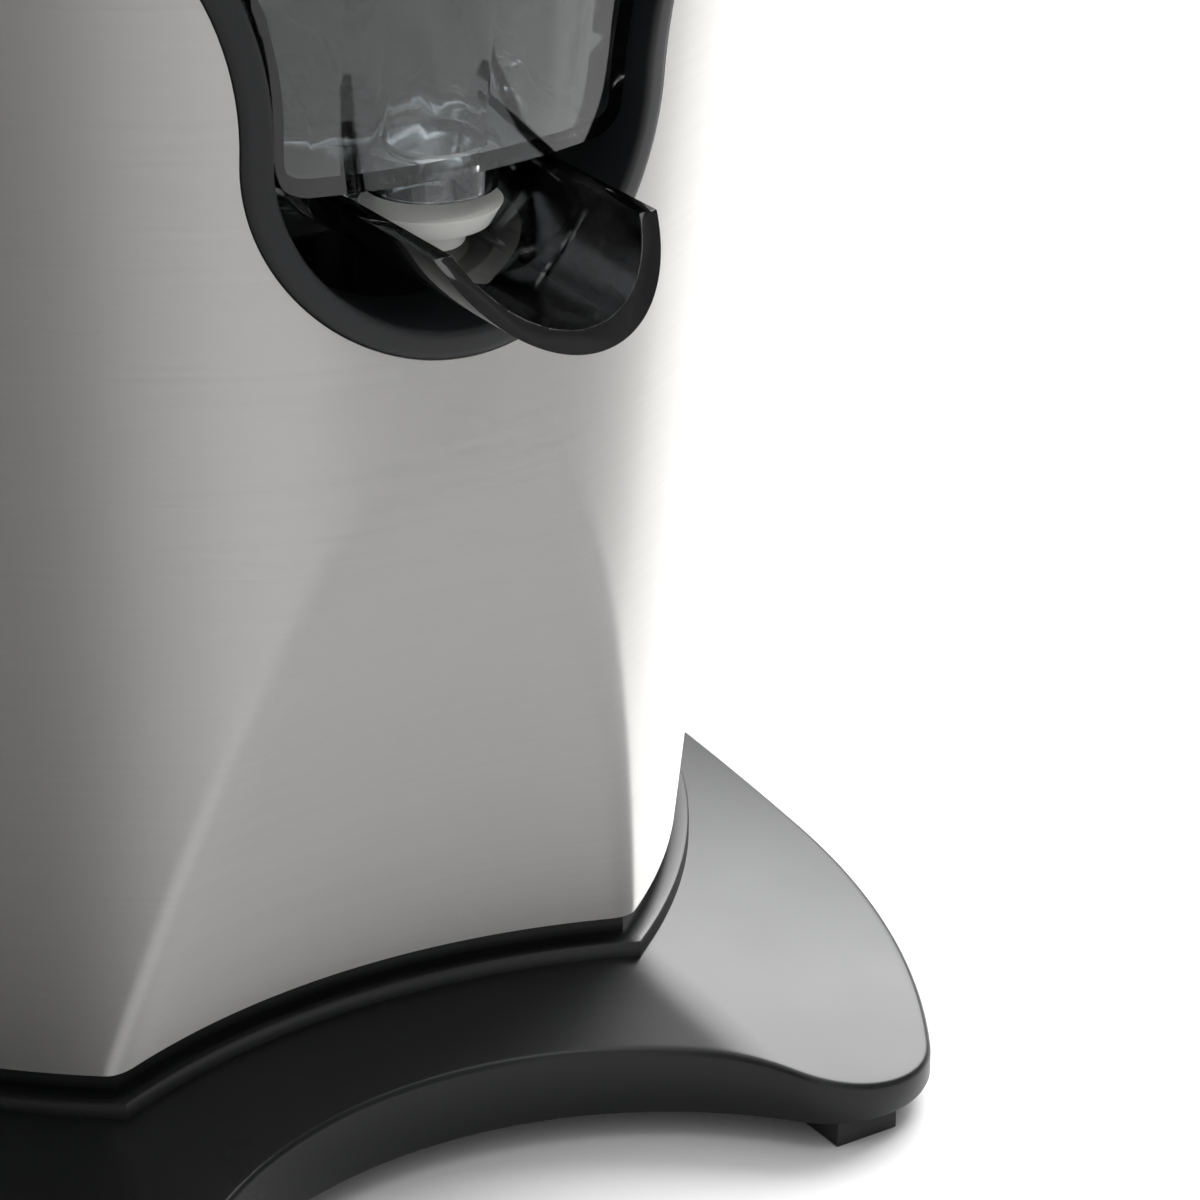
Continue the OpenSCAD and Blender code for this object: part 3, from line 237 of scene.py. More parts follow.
def reach_of_circle(u, centre, r):
    """Distance from the middle to the far side of a circle in the direction u, or None if it misses."""
    along = u.dot(centre)
    d = along * along - centre.length_squared + r * r
    return along + math.sqrt(d) if d >= 0 else None


def soft_min(a, b, k):
    """The smaller of a and b, blended smoothly where they differ by less than k."""
    h = max(k - abs(a - b), 0.0) / k
    return min(a, b) - h * h * k / 4


# ---- making meshes ----

def new_piece(name, mesh, material, body, replaced=(), sharp=math.radians(32)):
    """Links a piece, shades it, gives it its finish and lets it ride on a body."""
    mesh.materials.clear()
    mesh.materials.append(material)
    mesh.shade_smooth()
    mesh.set_sharp_from_angle(angle=sharp)
    piece = bpy.data.objects.new(name, mesh)
    bpy.context.scene.collection.objects.link(piece)
    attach(piece, body)
    if replaced:
        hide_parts(*replaced)
    return piece


def mesh_of(name, points, faces):
    """Mesh from points in millimetres about the body's middle."""
    mesh = bpy.data.meshes.new(name)
    mesh.from_pydata([(x * MM, (y + MIDDLE_Y) * MM, z * MM) for x, y, z in points], [], faces)
    mesh.validate()
    outward(mesh)
    return mesh


def outward(mesh):
    """Joins doubled points and turns every face outward."""
    bm = bmesh.new()
    bm.from_mesh(mesh)
    bmesh.ops.remove_doubles(bm, verts=bm.verts, dist=1e-7)
    bmesh.ops.recalc_face_normals(bm, faces=bm.faces)
    bm.to_mesh(mesh)
    bm.free()


def loft(rings, closed=True, cap_first=False, cap_last=False):
    """Points and faces of a surface through rings of equal length; closed joins each ring's ends."""
    points = [p for ring in rings for p in ring]
    n = len(rings[0])
    faces = []
    for j in range(len(rings) - 1):
        for i in range(n if closed else n - 1):
            k = (i + 1) % n
            faces.append((j * n + i, j * n + k, (j + 1) * n + k, (j + 1) * n + i))
    if cap_first:
        faces.append(tuple(range(n)))
    if cap_last:
        faces.append(tuple((len(rings) - 1) * n + i for i in reversed(range(n))))
    return points, faces


def rounded(corners, radius, steps=5):
    """The profile with each corner replaced by an arc that touches both of its sides."""
    out = [corners[0]]
    for a, b, c in zip(corners, corners[1:], corners[2:]):
        a, b, c = Vector(a), Vector(b), Vector(c)
        p, q = a - b, c - b
        r = min(radius, p.length * 0.45, q.length * 0.45)
        p, q = b + p.normalized() * r, b + q.normalized() * r
        for i in range(steps + 1):
            t = i / steps
            point = p * (1 - t) ** 2 + b * 2 * t * (1 - t) + q * t * t
            out.append((point.x, point.y))
    out.append(corners[-1])
    return out


def applied(obj, kind, settings):
    """Adds a modifier with its settings and bakes the result into the mesh."""
    modifier = obj.modifiers.new(kind.lower(), kind)
    for key, value in settings.items():
        setattr(modifier, key, value)
    graph = bpy.context.evaluated_depsgraph_get()
    mesh = bpy.data.meshes.new_from_object(obj.evaluated_get(graph))
    obj.modifiers.clear()
    obj.data = mesh
    return mesh


def scratch(mesh):
    """A working object that isn't kept."""
    obj = bpy.data.objects.new("scratch", mesh)
    bpy.context.scene.collection.objects.link(obj)
    return obj


def softened(node, width, segments=3, limit=math.radians(38)):
    """A copy of a CAD node's mesh with its corners rounded over width millimetres."""
    source = frame["nodes"][node]
    mesh = source.data.copy()
    bm = bmesh.new()
    bm.from_mesh(mesh)
    bmesh.ops.remove_doubles(bm, verts=bm.verts, dist=2e-6)
    bmesh.ops.dissolve_limit(bm, angle_limit=math.radians(0.6), verts=bm.verts, edges=bm.edges)
    bm.to_mesh(mesh)
    bm.free()
    obj = scratch(mesh)
    result = applied(obj, "BEVEL", {
        "width": width * MM, "segments": segments, "limit_method": "ANGLE", "angle_limit": limit,
        "use_clamp_overlap": True, "harden_normals": False, "miter_outer": "MITER_ARC"})
    bpy.data.objects.remove(obj)
    return result


# ---- finishes ----

def linear(hex_colour):
    """Linear RGBA of an sRGB hex colour."""
    channels = [int(hex_colour[i:i + 2], 16) / 255 for i in (1, 3, 5)]
    return tuple(c / 12.92 if c <= 0.04045 else ((c + 0.055) / 1.055) ** 2.4 for c in channels) + (1.0,)


def add_node(tree, kind, settings=None, links=None):
    """Adds a node; settings name its inputs or properties, and links name the sockets that feed it."""
    node = tree.nodes.new(kind)
    for key, value in (settings or {}).items():
        if isinstance(key, int) or key in node.inputs:
            node.inputs[key].default_value = value
        else:
            setattr(node, key, value)
    for key, source in (links or {}).items():
        tree.links.new(source, node.inputs[key])
    return node


def blank(name):
    """A new material with an empty node tree."""
    material = bpy.data.materials.new(name)
    material.use_nodes = True
    material.node_tree.nodes.clear()
    return material, material.node_tree


def close(tree, shader):
    """Connects the shader to the material's output."""
    add_node(tree, "ShaderNodeOutputMaterial", links={"Surface": shader.outputs[0]})


def shade_range(tree, factor, low, high):
    """Turns a 0 to 1 pattern into a value from low to high."""
    return add_node(tree, "ShaderNodeMapRange", {"To Min": low, "To Max": high}, {"Value": factor})


def tint(tree, factor, colour, spread):
    """Colour that varies with a pattern, darker and lighter than colour by spread."""
    dark = tuple(c * (1 - spread) for c in colour[:3]) + (1.0,)
    light = tuple(min(1.0, c * (1 + spread)) for c in colour[:3]) + (1.0,)
    return add_node(tree, "ShaderNodeMix", {"data_type": "RGBA", 6: dark, 7: light}, {0: factor})


def brushed_metal(name, colour, roughness, line_mm, radius_mm, anisotropy=0.7):
    """Sheet metal brushed round an upright body: level scratches that spread reflections upright."""
    material, tree = blank(name)
    place = add_node(tree, "ShaderNodeTexCoord")
    shift = add_node(tree, "ShaderNodeMapping", {"Location": (0.0, -MIDDLE_Y * MM, 0.0)},
                     {"Vector": place.outputs["Object"]})
    parts = add_node(tree, "ShaderNodeSeparateXYZ", links={0: shift.outputs[0]})
    turn = add_node(tree, "ShaderNodeMath", {"operation": "ARCTAN2"},
                    {0: parts.outputs["Y"], 1: parts.outputs["X"]})
    # scratches about 60 mm long and line_mm apart
    round_way = add_node(tree, "ShaderNodeMath", {"operation": "MULTIPLY", 1: radius_mm / 60},
                         {0: turn.outputs[0]})
    up_way = add_node(tree, "ShaderNodeMath", {"operation": "MULTIPLY", 1: 1000 / (2 * line_mm)},
                      {0: parts.outputs["Z"]})
    wrapped = add_node(tree, "ShaderNodeCombineXYZ",
                       links={"X": round_way.outputs[0], "Z": up_way.outputs[0]})
    lines = add_node(tree, "ShaderNodeTexNoise", {"Scale": 1.0, "Detail": 3.0, "Roughness": 0.62},
                     {"Vector": wrapped.outputs[0]})
    cloud = add_node(tree, "ShaderNodeTexNoise", {"Scale": 14.0, "Detail": 2.0},
                     {"Vector": shift.outputs[0]})
    both = add_node(tree, "ShaderNodeMath", {"operation": "MULTIPLY_ADD", 1: 0.25},
                    {0: cloud.outputs[0], 2: lines.outputs[0]})
    rough = shade_range(tree, both.outputs[0], roughness - 0.07, roughness + 0.1)
    shade = tint(tree, lines.outputs[0], colour, 0.09)
    bump = add_node(tree, "ShaderNodeBump", {"Strength": 0.12, "Distance": 0.06 * MM},
                    {"Height": lines.outputs[0]})
    tangent = add_node(tree, "ShaderNodeTangent", {"direction_type": "RADIAL", "axis": "Z"})
    shader = add_node(tree, "ShaderNodeBsdfPrincipled", {
        "Metallic": 1.0, "Anisotropic": anisotropy, "Anisotropic Rotation": 0.25}, {
        "Base Color": shade.outputs[2], "Roughness": rough.outputs[0],
        "Normal": bump.outputs[0], "Tangent": tangent.outputs[0]})
    close(tree, shader)
    return material


def satin_metal(name, colour, roughness, grain_mm, depth_mm=0.01):
    """Cast, turned or rolled metal: fine even grain that softens reflections."""
    material, tree = blank(name)
    place = add_node(tree, "ShaderNodeTexCoord")
    grain = add_node(tree, "ShaderNodeTexNoise", {"Scale": 1000 / grain_mm, "Detail": 3.0},
                     {"Vector": place.outputs["Object"]})
    cloud = add_node(tree, "ShaderNodeTexNoise", {"Scale": 30.0, "Detail": 3.0},
                     {"Vector": place.outputs["Object"]})
    rough = shade_range(tree, cloud.outputs[0], max(0.03, roughness - 0.06), roughness + 0.08)
    shade = tint(tree, cloud.outputs[0], colour, 0.06)
    bump = add_node(tree, "ShaderNodeBump", {"Strength": 0.35, "Distance": depth_mm * MM},
                    {"Height": grain.outputs[0]})
    shader = add_node(tree, "ShaderNodeBsdfPrincipled", {"Metallic": 1.0}, {
        "Base Color": shade.outputs[2], "Roughness": rough.outputs[0], "Normal": bump.outputs[0]})
    close(tree, shader)
    return material


def moulded_plastic(name, colour, roughness, grain_mm, depth_mm=0.03, ior=1.53, coat=0.0, shine=0.5):
    """Moulded plastic or rubber: a fine spark-eroded grain, with faint cloudy wear in its gloss."""
    material, tree = blank(name)
    place = add_node(tree, "ShaderNodeTexCoord")
    grain = add_node(tree, "ShaderNodeTexNoise",
                     {"Scale": 1000 / grain_mm, "Detail": 4.0, "Roughness": 0.6},
                     {"Vector": place.outputs["Object"]})
    cloud = add_node(tree, "ShaderNodeTexNoise", {"Scale": 22.0, "Detail": 4.0},
                     {"Vector": place.outputs["Object"]})
    rough = shade_range(tree, cloud.outputs[0], roughness - 0.08, roughness + 0.1)
    shade = tint(tree, cloud.outputs[0], colour, 0.14)
    bump = add_node(tree, "ShaderNodeBump", {"Strength": 0.4, "Distance": depth_mm * MM},
                    {"Height": grain.outputs[0]})
    shader = add_node(tree, "ShaderNodeBsdfPrincipled", {
        "IOR": ior, "Coat Weight": coat, "Specular IOR Level": shine}, {
        "Base Color": shade.outputs[2], "Roughness": rough.outputs[0], "Normal": bump.outputs[0]})
    close(tree, shader)
    return material


def clear_polycarbonate(name, colour, roughness=0.015):
    """Injection-moulded polycarbonate: clear, faintly grey, with slight ripples from the mould."""
    material, tree = blank(name)
    place = add_node(tree, "ShaderNodeTexCoord")
    ripple = add_node(tree, "ShaderNodeTexNoise", {"Scale": 60.0, "Detail": 2.0},
                      {"Vector": place.outputs["Object"]})
    rough = shade_range(tree, ripple.outputs[0], roughness, roughness + 0.05)
    shade = tint(tree, ripple.outputs[0], colour, 0.02)
    bump = add_node(tree, "ShaderNodeBump", {"Strength": 0.25, "Distance": 0.2 * MM},
                    {"Height": ripple.outputs[0]})
    shader = add_node(tree, "ShaderNodeBsdfPrincipled", {"IOR": 1.585, "Transmission Weight": 1.0}, {
        "Base Color": shade.outputs[2], "Roughness": rough.outputs[0], "Normal": bump.outputs[0]})
    close(tree, shader)
    return material


def make_finishes():
    """Every finish by its name; the record's slots use the same names where both have one."""
    f = finishes()
    black = linear(f.black)
    steel = linear(f.steel)
    return {
        # cold-rolled stainless sheet brushed with a belt: upright streaks of light
        "brushed_steel": brushed_metal("brushed_stainless_steel", steel, 0.5, 0.5, 90.0, 0.97),
        # spun stainless, lightly brushed: bright with soft streaks round it
        "polished_steel": brushed_metal("spun_stainless_steel", linear("#D2D2D3"), 0.2, 0.35, 50.0, 0.5),
        # gravity-cast aluminium, blasted and clear-anodised: an even satin sheen
        "arm_alloy": satin_metal("satin_cast_aluminium", linear(f.alloy), 0.34, 0.5, 0.02),
        # moulded ABS with a fine grain: deep black with soft edge lights
        "black_plastic": moulded_plastic("moulded_black_abs", black, 0.3, 0.9, 0.008, shine=0.3),
        # the same ABS, coarser and duller: the lining behind the mouth
        "inner_plastic": moulded_plastic("dull_black_abs", linear("#0B0B0C"), 0.6, 1.2, shine=0.25),
        # grained ABS: matte dark grey that shows no reflections
        "bezel_plastic": moulded_plastic("matte_grey_abs", linear(f.bezel), 0.5, 0.6, 0.02, shine=0.3),
        # acetal copolymer, polished mould: semi-gloss black
        "reamer_plastic": moulded_plastic("glossy_black_acetal", linear("#17181A"), 0.22, 2.0, 0.01,
                                          1.48, 0.2),
        "clear_plastic": clear_polycarbonate("clear_polycarbonate", linear(f.clear)),
        # platinum-cured silicone: milky, soft, with no gloss
        "silicone": moulded_plastic("milky_silicone", linear(f.silicone), 0.5, 1.5, 0.01, 1.41),
        "seal_rubber": moulded_plastic("red_silicone_seal", linear("#A23A2C"), 0.5, 1.0, 0.02, 1.41),
        # nitrile rubber: dull, slightly chalky black
        "foot_rubber": moulded_plastic("nitrile_rubber", linear("#1E1E1F"), 0.72, 0.8, 0.04, 1.52),
        # soft-touch thermoplastic elastomer over the handle
        "grip_rubber": moulded_plastic("soft_touch_rubber", linear("#1A1B1C"), 0.62, 0.5, 0.03, 1.5),
        "screw_steel": satin_metal("zinc_plated_steel", linear("#A9ABAE"), 0.36, 0.6),
        "pin_steel": satin_metal("ground_steel", linear("#C9CACC"), 0.2, 0.4),
        "motor_steel": satin_metal("drawn_motor_steel", linear("#9EA0A3"), 0.4, 0.9),
        "magnet": satin_metal("sintered_ferrite", linear("#3A3A3C"), 0.6, 0.5, 0.05),
        "copper": satin_metal("varnished_copper_winding", linear("#B0713F"), 0.35, 0.5, 0.05),
        "brass": satin_metal("turned_brass", linear("#C9A75A"), 0.25, 0.4),
        "gear_plastic": moulded_plastic("moulded_white_acetal", linear("#E4E2D8"), 0.35, 1.0, 0.01, 1.48),
        "case_plastic": moulded_plastic("moulded_nylon", linear("#D6D6CE"), 0.5, 1.2, 0.02, 1.53),
        "board": moulded_plastic("solder_masked_laminate", linear("#1E5B34"), 0.3, 1.5, 0.01, 1.55),
        "switch_plastic": moulded_plastic("phenolic_black", linear("#1C1C1E"), 0.45, 1.0, 0.02, 1.55),
        "button_plastic": moulded_plastic("red_acetal", linear("#C03A2A"), 0.35, 1.0, 0.01, 1.48),
    }


FINISHES = {}


def finish(slot):
    if not FINISHES:
        FINISHES.update(make_finishes())
    return FINISHES[slot]


# ---- pieces ----

class PRESS_OT_steel_body(bpy.types.Operator):
    """Pressed and brushed steel skin with the leaning hollow and the cut mouth"""

    bl_idname = "press.steel_body"
    bl_label = "Steel body"

    # sheet's thickness, hem at its lower edge, and radius of the hole for the cord's gland
    sheet = 1.0
    hem = 0.7
    gland_hole_r = 5.6

    def execute(self, context):
        body = Body()
        front, back, levels = 460, 110, 120
        angles = [math.pi + math.pi * i / front for i in range(front)]
        angles += [math.pi * i / back for i in range(back)]
        rings = []
        crease = sizes().crease
        for j in range(levels + 1):
            z = SKIN_Z + (SKIN_TOP - SKIN_Z) * j / levels
            rings.append(self.ring(body, angles, z, crease, 0.0))
        rings.insert(0, self.ring(body, angles, SKIN_Z, crease, -self.hem))
        rings[1] = self.ring(body, angles, SKIN_Z + self.hem * 0.5, crease, 0.0)
        points, faces = loft(rings)
        mesh = mesh_of("steel_body", points, faces)
        shell = scratch(mesh)
        applied(shell, "SOLIDIFY", {"thickness": self.sheet * MM, "offset": -1.0, "use_rim": True})
        mouth = scratch(self.mouth_cutter(body))
        gland_low, gland_high = span("cord_gland")
        gland_z = (gland_low.z + gland_high.z) / 2
        hole = scratch(self.gland_cutter(gland_z, gland_high.y - MIDDLE_Y))
        for cutter in (mouth, hole):
            applied(shell, "BOOLEAN", {"operation": "DIFFERENCE", "object": cutter, "solver": "EXACT"})
        result = shell.data
        for obj in (mouth, hole, shell):
            bpy.data.objects.remove(obj)
        new_piece("steel_body", result, finish("brushed_steel"), "housing", ["body_skin"])
        return {"FINISHED"}

    @staticmethod
    def ring(body, angles, z, crease, off):
        out = []
        for a in angles:
            r = soft_min(body.oval(a, z), body.scoop(a, z), crease) + off
            out.append((r * math.cos(a), r * math.sin(a), z))
        return out

    @staticmethod
    def mouth_cutter(body):
        line = body.mouth_line(0.0, SKIN_TOP - 0.05)
        line = [(line[0][0], SKIN_TOP + 20)] + line + [(line[-1][0], SKIN_TOP + 20)]
        rings = [[(x, y, z) for x, z in line] for y in (-30.0, -200.0)]
        points, faces = loft(rings, cap_first=True, cap_last=True)
        return mesh_of("mouth_cutter", points, faces)

    def gland_cutter(self, z, back):
        r = self.gland_hole_r
        rings = [[(r * math.cos(a), y, z + r * math.sin(a)) for a in
                  [2 * math.pi * i / 40 for i in range(40)]] for y in (back - 30, back + 10)]
        points, faces = loft(rings, cap_first=True, cap_last=True)
        return mesh_of("gland_cutter", points, faces)


class PRESS_OT_bezel(bpy.types.Operator):
    """Moulded bezel that frames the mouth and stands a little proud of the steel"""

    bl_idname = "press.bezel"
    bl_label = "Bezel"

    # gap to the steel's edge, height above the steel, and rounding of its front
    gap = 0.1
    proud = 0.5
    edge_r = 1.1

    def execute(self, context):
        body = Body()
        s = sizes()
        top = SKIN_TOP - 0.3
        # across the band: distance in from the mouth's edge, and height above the skin
        section = rounded([(self.gap, -s.bezel_depth), (self.gap, self.proud), (s.bezel_w, self.proud),
                           (s.bezel_w, -s.bezel_depth)], self.edge_r)
        rings = []
        for inset, out in section:
            line = body.mouth_line(inset, top)
            rings.append([(x, body.front_y(x, z, out), z) for x, z in line])
        rings.append(rings[0])
        points, faces = loft(rings, closed=False)
        n = len(rings[0])
        count = len(rings) - 1
        faces.append(tuple(j * n for j in range(count)))
        faces.append(tuple(j * n + n - 1 for j in reversed(range(count))))
        mesh = mesh_of("mouth_bezel", points, faces)
        new_piece("mouth_bezel", mesh, finish("bezel_plastic"), "housing", ["spout_bezel"])
        return {"FINISHED"}


class PRESS_OT_base(bpy.types.Operator):
    """Moulded base with two rounded prongs, a sloping top, and the collar that the steel stands in"""

    bl_idname = "press.base"
    bl_label = "Base"

    margin = 4.0
    flank_margin = 2.0
    prong_side = 12.2
    prong_back = 37.5
    glass_r = 59.0
    glass_inset = 5.4
    tip_r = 14.0
    collar_out = 2.0
    collar_h = 2.3
    skin_gap = 4.6
    fall = 0.25
    ledge_fall = 0.27
    wall = 2.5

    def execute(self, context):
        b = Body()
        self.body = b
        self.top_z = SKIN_Z - self.skin_gap
        self.flank_w = b.half_w + self.flank_margin
        self.prong_r = self.flank_w + self.prong_side
        self.prong_c = Vector((-self.prong_side, -(b.reach - self.prong_back)))
        self.glass_c = Vector((0.0, -(b.reach - self.glass_inset) - self.glass_r))
        self.tip_c = meet(self.prong_c, self.prong_r - self.tip_r, self.glass_c, self.glass_r + self.tip_r)
        self.flank_back = math.sqrt((b.side_r + self.margin) ** 2 - (self.flank_w + b.side_c) ** 2)
        self.arc_r = b.scoop_r * math.cos(b.lean) - self.collar_out
        self.arc_y = b.scoop_reach + self.collar_out + self.arc_r
        edge = sizes().edge_r
        rings = []
        rings.append(self.at_height(self.outline(self.wall), FOOT_H + 2))
        rings.append(self.at_height(self.outline(self.wall), FOOT_H + 0.4))
        rings.append(self.at_height(self.outline(self.wall - 0.4), FOOT_H))
        rings.append(self.at_height(self.outline(0.8), FOOT_H))
        rings.append(self.at_height(self.outline(0.25), FOOT_H + 0.25))
        rings.append(self.at_height(self.outline(0.0), FOOT_H + 0.8))
        for i in range(7):
            inset = edge * (1 - math.cos(math.pi / 2 * i / 6))
            drop = edge * (1 - math.sin(math.pi / 2 * i / 6))
            rings.append([(x, y, self.height(x, y) - drop) for x, y in self.outline(inset)])
        outer = self.outline(edge)
        inner = self.collar(0.0)
        steps = 26
        for i in range(1, steps + 1):
            t = i / steps
            ring = []
            for (x0, y0), (x1, y1) in zip(outer, inner):
                x, y = x0 + (x1 - x0) * t, y0 + (y1 - y0) * t
                ring.append((x, y, self.height(x, y)))
            rings.append(ring)
        top = self.top_z + self.collar_h
        rings.append(self.at_height(inner, top - 0.6))
        rings.append(self.at_height(self.collar(0.18), top - 0.18))
        rings.append(self.at_height(self.collar(0.6), top))
        rings.append(self.at_height(self.collar(self.collar_out + 1.2), top))
        rings.append(self.at_height(self.collar(self.collar_out + 1.4), top + 6.0))
        rings.append(self.at_height(self.collar(self.collar_out + 3.4), top + 6.0))
        points, faces = loft(rings)
        mesh = mesh_of("base_moulding", points, faces)
        new_piece("base_moulding", mesh, finish("black_plastic"), "housing", ["base"])
        return {"FINISHED"}

    @staticmethod
    def at_height(outline, z):
        return [(x, y, z) for x, y in outline]

    def outline(self, inset):
        """The base's edge, round from the middle of the front and back to it."""
        b = self.body
        half = []
        g = self.glass_r + inset
        to_tip = self.tip_c - self.glass_c
        a1 = math.atan2(to_tip.y, to_tip.x)
        half += arc(self.glass_c, g, math.pi / 2, a1, 30)
        t = self.tip_r - inset
        out = self.tip_c - self.prong_c
        a2 = math.atan2(out.y, out.x)
        half += arc(self.tip_c, t, a1 + math.pi, a2 + 2 * math.pi, 30)[1:]
        half += arc(self.prong_c, self.prong_r - inset, a2, 0.0, 26)[1:]
        r = b.side_r + self.margin - inset
        a3 = math.asin(-self.flank_back / (b.side_r + self.margin))
        start = Vector((-b.side_c + r * math.cos(a3), r * math.sin(a3)))
        x = self.flank_w - inset
        for i in range(1, 6):
            y = self.prong_c.y + (start.y - self.prong_c.y) * i / 6
            half.append((x + (start.x - x) * i / 6, y))
        a4 = math.atan2(b.nose_c, b.side_c)
        half += arc(Vector((-b.side_c, 0.0)), r, a3, a4, 40)
        half += arc(Vector((0.0, b.nose_c)), b.nose_r + self.margin - inset, a4, math.pi / 2, 30)[1:]
        return half + [(-x, y) for x, y in half[-2:0:-1]]

    def collar(self, inset):
        """The collar's edge with as many points as outline gives, each opposite its neighbour there."""
        b = self.body
        off = self.collar_out - inset
        r = self.arc_r + inset
        corner = self.corner(off, r)
        a1 = math.atan2(corner[1] + self.arc_y, corner[0])
        half = arc(Vector((0.0, -self.arc_y)), r, math.pi / 2, a1, 30)
        a2 = math.atan2(corner[1], corner[0] + b.side_c)
        a3 = math.asin(-self.flank_back / (b.side_r + self.margin))
        # the tip's 30 points, the prong's 26 and the flank's 5 each face their own share of the side
        shares = [0.28 * i / 30 for i in range(1, 31)] + [0.28 + 0.6 * i / 26 for i in range(1, 27)]
        shares += [0.88 + 0.02 * i for i in range(1, 6)]
        for share in shares:
            a = a2 + (a3 - a2) * share
            half.append(((b.side_r + off) * math.cos(a) - b.side_c, (b.side_r + off) * math.sin(a)))
        a4 = math.atan2(b.nose_c, b.side_c)
        half += arc(Vector((-b.side_c, 0.0)), b.side_r + off, a3, a4, 40)
        half += arc(Vector((0.0, b.nose_c)), b.nose_r + off, a4, math.pi / 2, 30)[1:]
        return half + [(-x, y) for x, y in half[-2:0:-1]]

    def corner(self, off, r):
        """Where the hollow's arc meets the oval."""
        low, high = 5.0, self.body.half_w
        for _ in range(50):
            x = (low + high) / 2
            y = -self.arc_y + math.sqrt(max(r * r - x * x, 0.0))
            if self.body.distance(x, y) < off:
                low = x
            else:
                high = x
        return x, y

    def height(self, x, y):
        """Height of the sloping top at a point."""
        b = self.body
        by_oval = self.top_z - self.fall * (b.distance(x, y) - self.collar_out)
        by_arc = self.top_z - self.ledge_fall * (self.arc_r - math.hypot(x, y + self.arc_y))
        return min(self.top_z, soft_min(by_oval, by_arc, 0.9))


def arc(centre, r, start, end, steps):
    return [(centre.x + r * math.cos(start + (end - start) * i / steps),
             centre.y + r * math.sin(start + (end - start) * i / steps)) for i in range(steps + 1)]


def meet(a, ra, b, rb):
    """Point at distance ra from a and rb from b, to the left of the way from a to b."""
    d = b - a
    t = (ra * ra - rb * rb + d.length_squared) / (2 * d.length)
    h = math.sqrt(ra * ra - t * t)
    way = d.normalized()
    return a + way * t + Vector((-way.y, way.x)) * h


class PRESS_OT_feet(bpy.types.Operator):
    """Rubber feet with rounded edges"""

    bl_idname = "press.feet"
    bl_label = "Feet"

    def execute(self, context):
        for node in ("foot_front_left", "foot_front_right", "foot_rear_left", "foot_rear_right"):
            mesh = softened(node, 0.5)
            new_piece(node.replace("foot", "rubber_foot"), mesh, finish("foot_rubber"), "housing", [node])
        return {"FINISHED"}


class PRESS_OT_bowl(bpy.types.Operator):
    """Clear juice bowl with its snout, the raised rim of the front panel, and the outlet"""

    bl_idname = "press.bowl"
    bl_label = "Juice bowl"

    def execute(self, context):
        mesh = softened("juice_bowl", 0.5, 2)
        new_piece("clear_bowl", mesh, finish("clear_plastic"), "housing", ["juice_bowl"])
        return {"FINISHED"}


class PRESS_OT_spout(bpy.types.Operator):
    """Clear flip-up spout: a half pipe with a rounded lip, turning on a steel pin"""

    bl_idname = "press.spout"
    bl_label = "Spout"

    def execute(self, context):
        mesh = softened("spout", 0.45, 3)
        new_piece("clear_spout", mesh, finish("clear_plastic"), "trough", ["spout"])
        return {"FINISHED"}


class PRESS_OT_valve(bpy.types.Operator):
    """Silicone pad that closes the outlet when the spout is flipped up"""

    bl_idname = "press.valve"
    bl_label = "Valve pad"

    def execute(self, context):
        mesh = softened("drip_pad", 0.6, 3)
        new_piece("silicone_valve", mesh, finish("silicone"), "trough", ["drip_pad"])
        return {"FINISHED"}


class PRESS_OT_top(bpy.types.Operator):
    """Top ring, hinge bracket and the spun steel dome"""

    bl_idname = "press.top"
    bl_label = "Top"

    def execute(self, context):
        for name, node, width, slot, body in (
                ("collar_ring", "top_ring", 1.2, "black_plastic", "housing"),
                ("bracket_moulding", "hinge_bracket", 1.5, "black_plastic", "housing"),
                ("steel_dome", "press_dome", 0.8, "polished_steel", "dome")):
            new_piece(name, softened(node, width), finish(slot), body, [node])
        return {"FINISHED"}


class PRESS_OT_reamer(bpy.types.Operator):
    """Moulded reamer with rounded ridges that fade towards its tip"""

    bl_idname = "press.reamer"
    bl_label = "Reamer"

    def execute(self, context):
        new_piece("ribbed_reamer", softened("reamer", 0.7), finish("reamer_plastic"), "cone", ["reamer"])
        return {"FINISHED"}


class PRESS_OT_arm(bpy.types.Operator):
    """Cast arm with rounded edges, and its soft hand grip"""

    bl_idname = "press.arm"
    bl_label = "Arm"

    def execute(self, context):
        new_piece("cast_arm", softened("press_arm", 2.2, 4), finish("arm_alloy"), "arm", ["press_arm"])
        new_piece("hand_grip", softened("arm_grip", 1.0), finish("grip_rubber"), "arm", ["arm_grip"])
        return {"FINISHED"}


class PRESS_OT_inner_parts(bpy.types.Operator):
    """Finishes for the CAD pieces that stay as they are: gears, motor, spindle, screws and pins"""

    bl_idname = "press.inner_parts"
    bl_label = "Inner parts"

    def execute(self, context):
        slots = {row["node"]: row["material_slot"] for row in frame["record"]["subparts"]}
        for name, node in frame["nodes"].items():
            node.data.materials.clear()
            node.data.materials.append(finish(slots[name]))
        return {"FINISHED"}


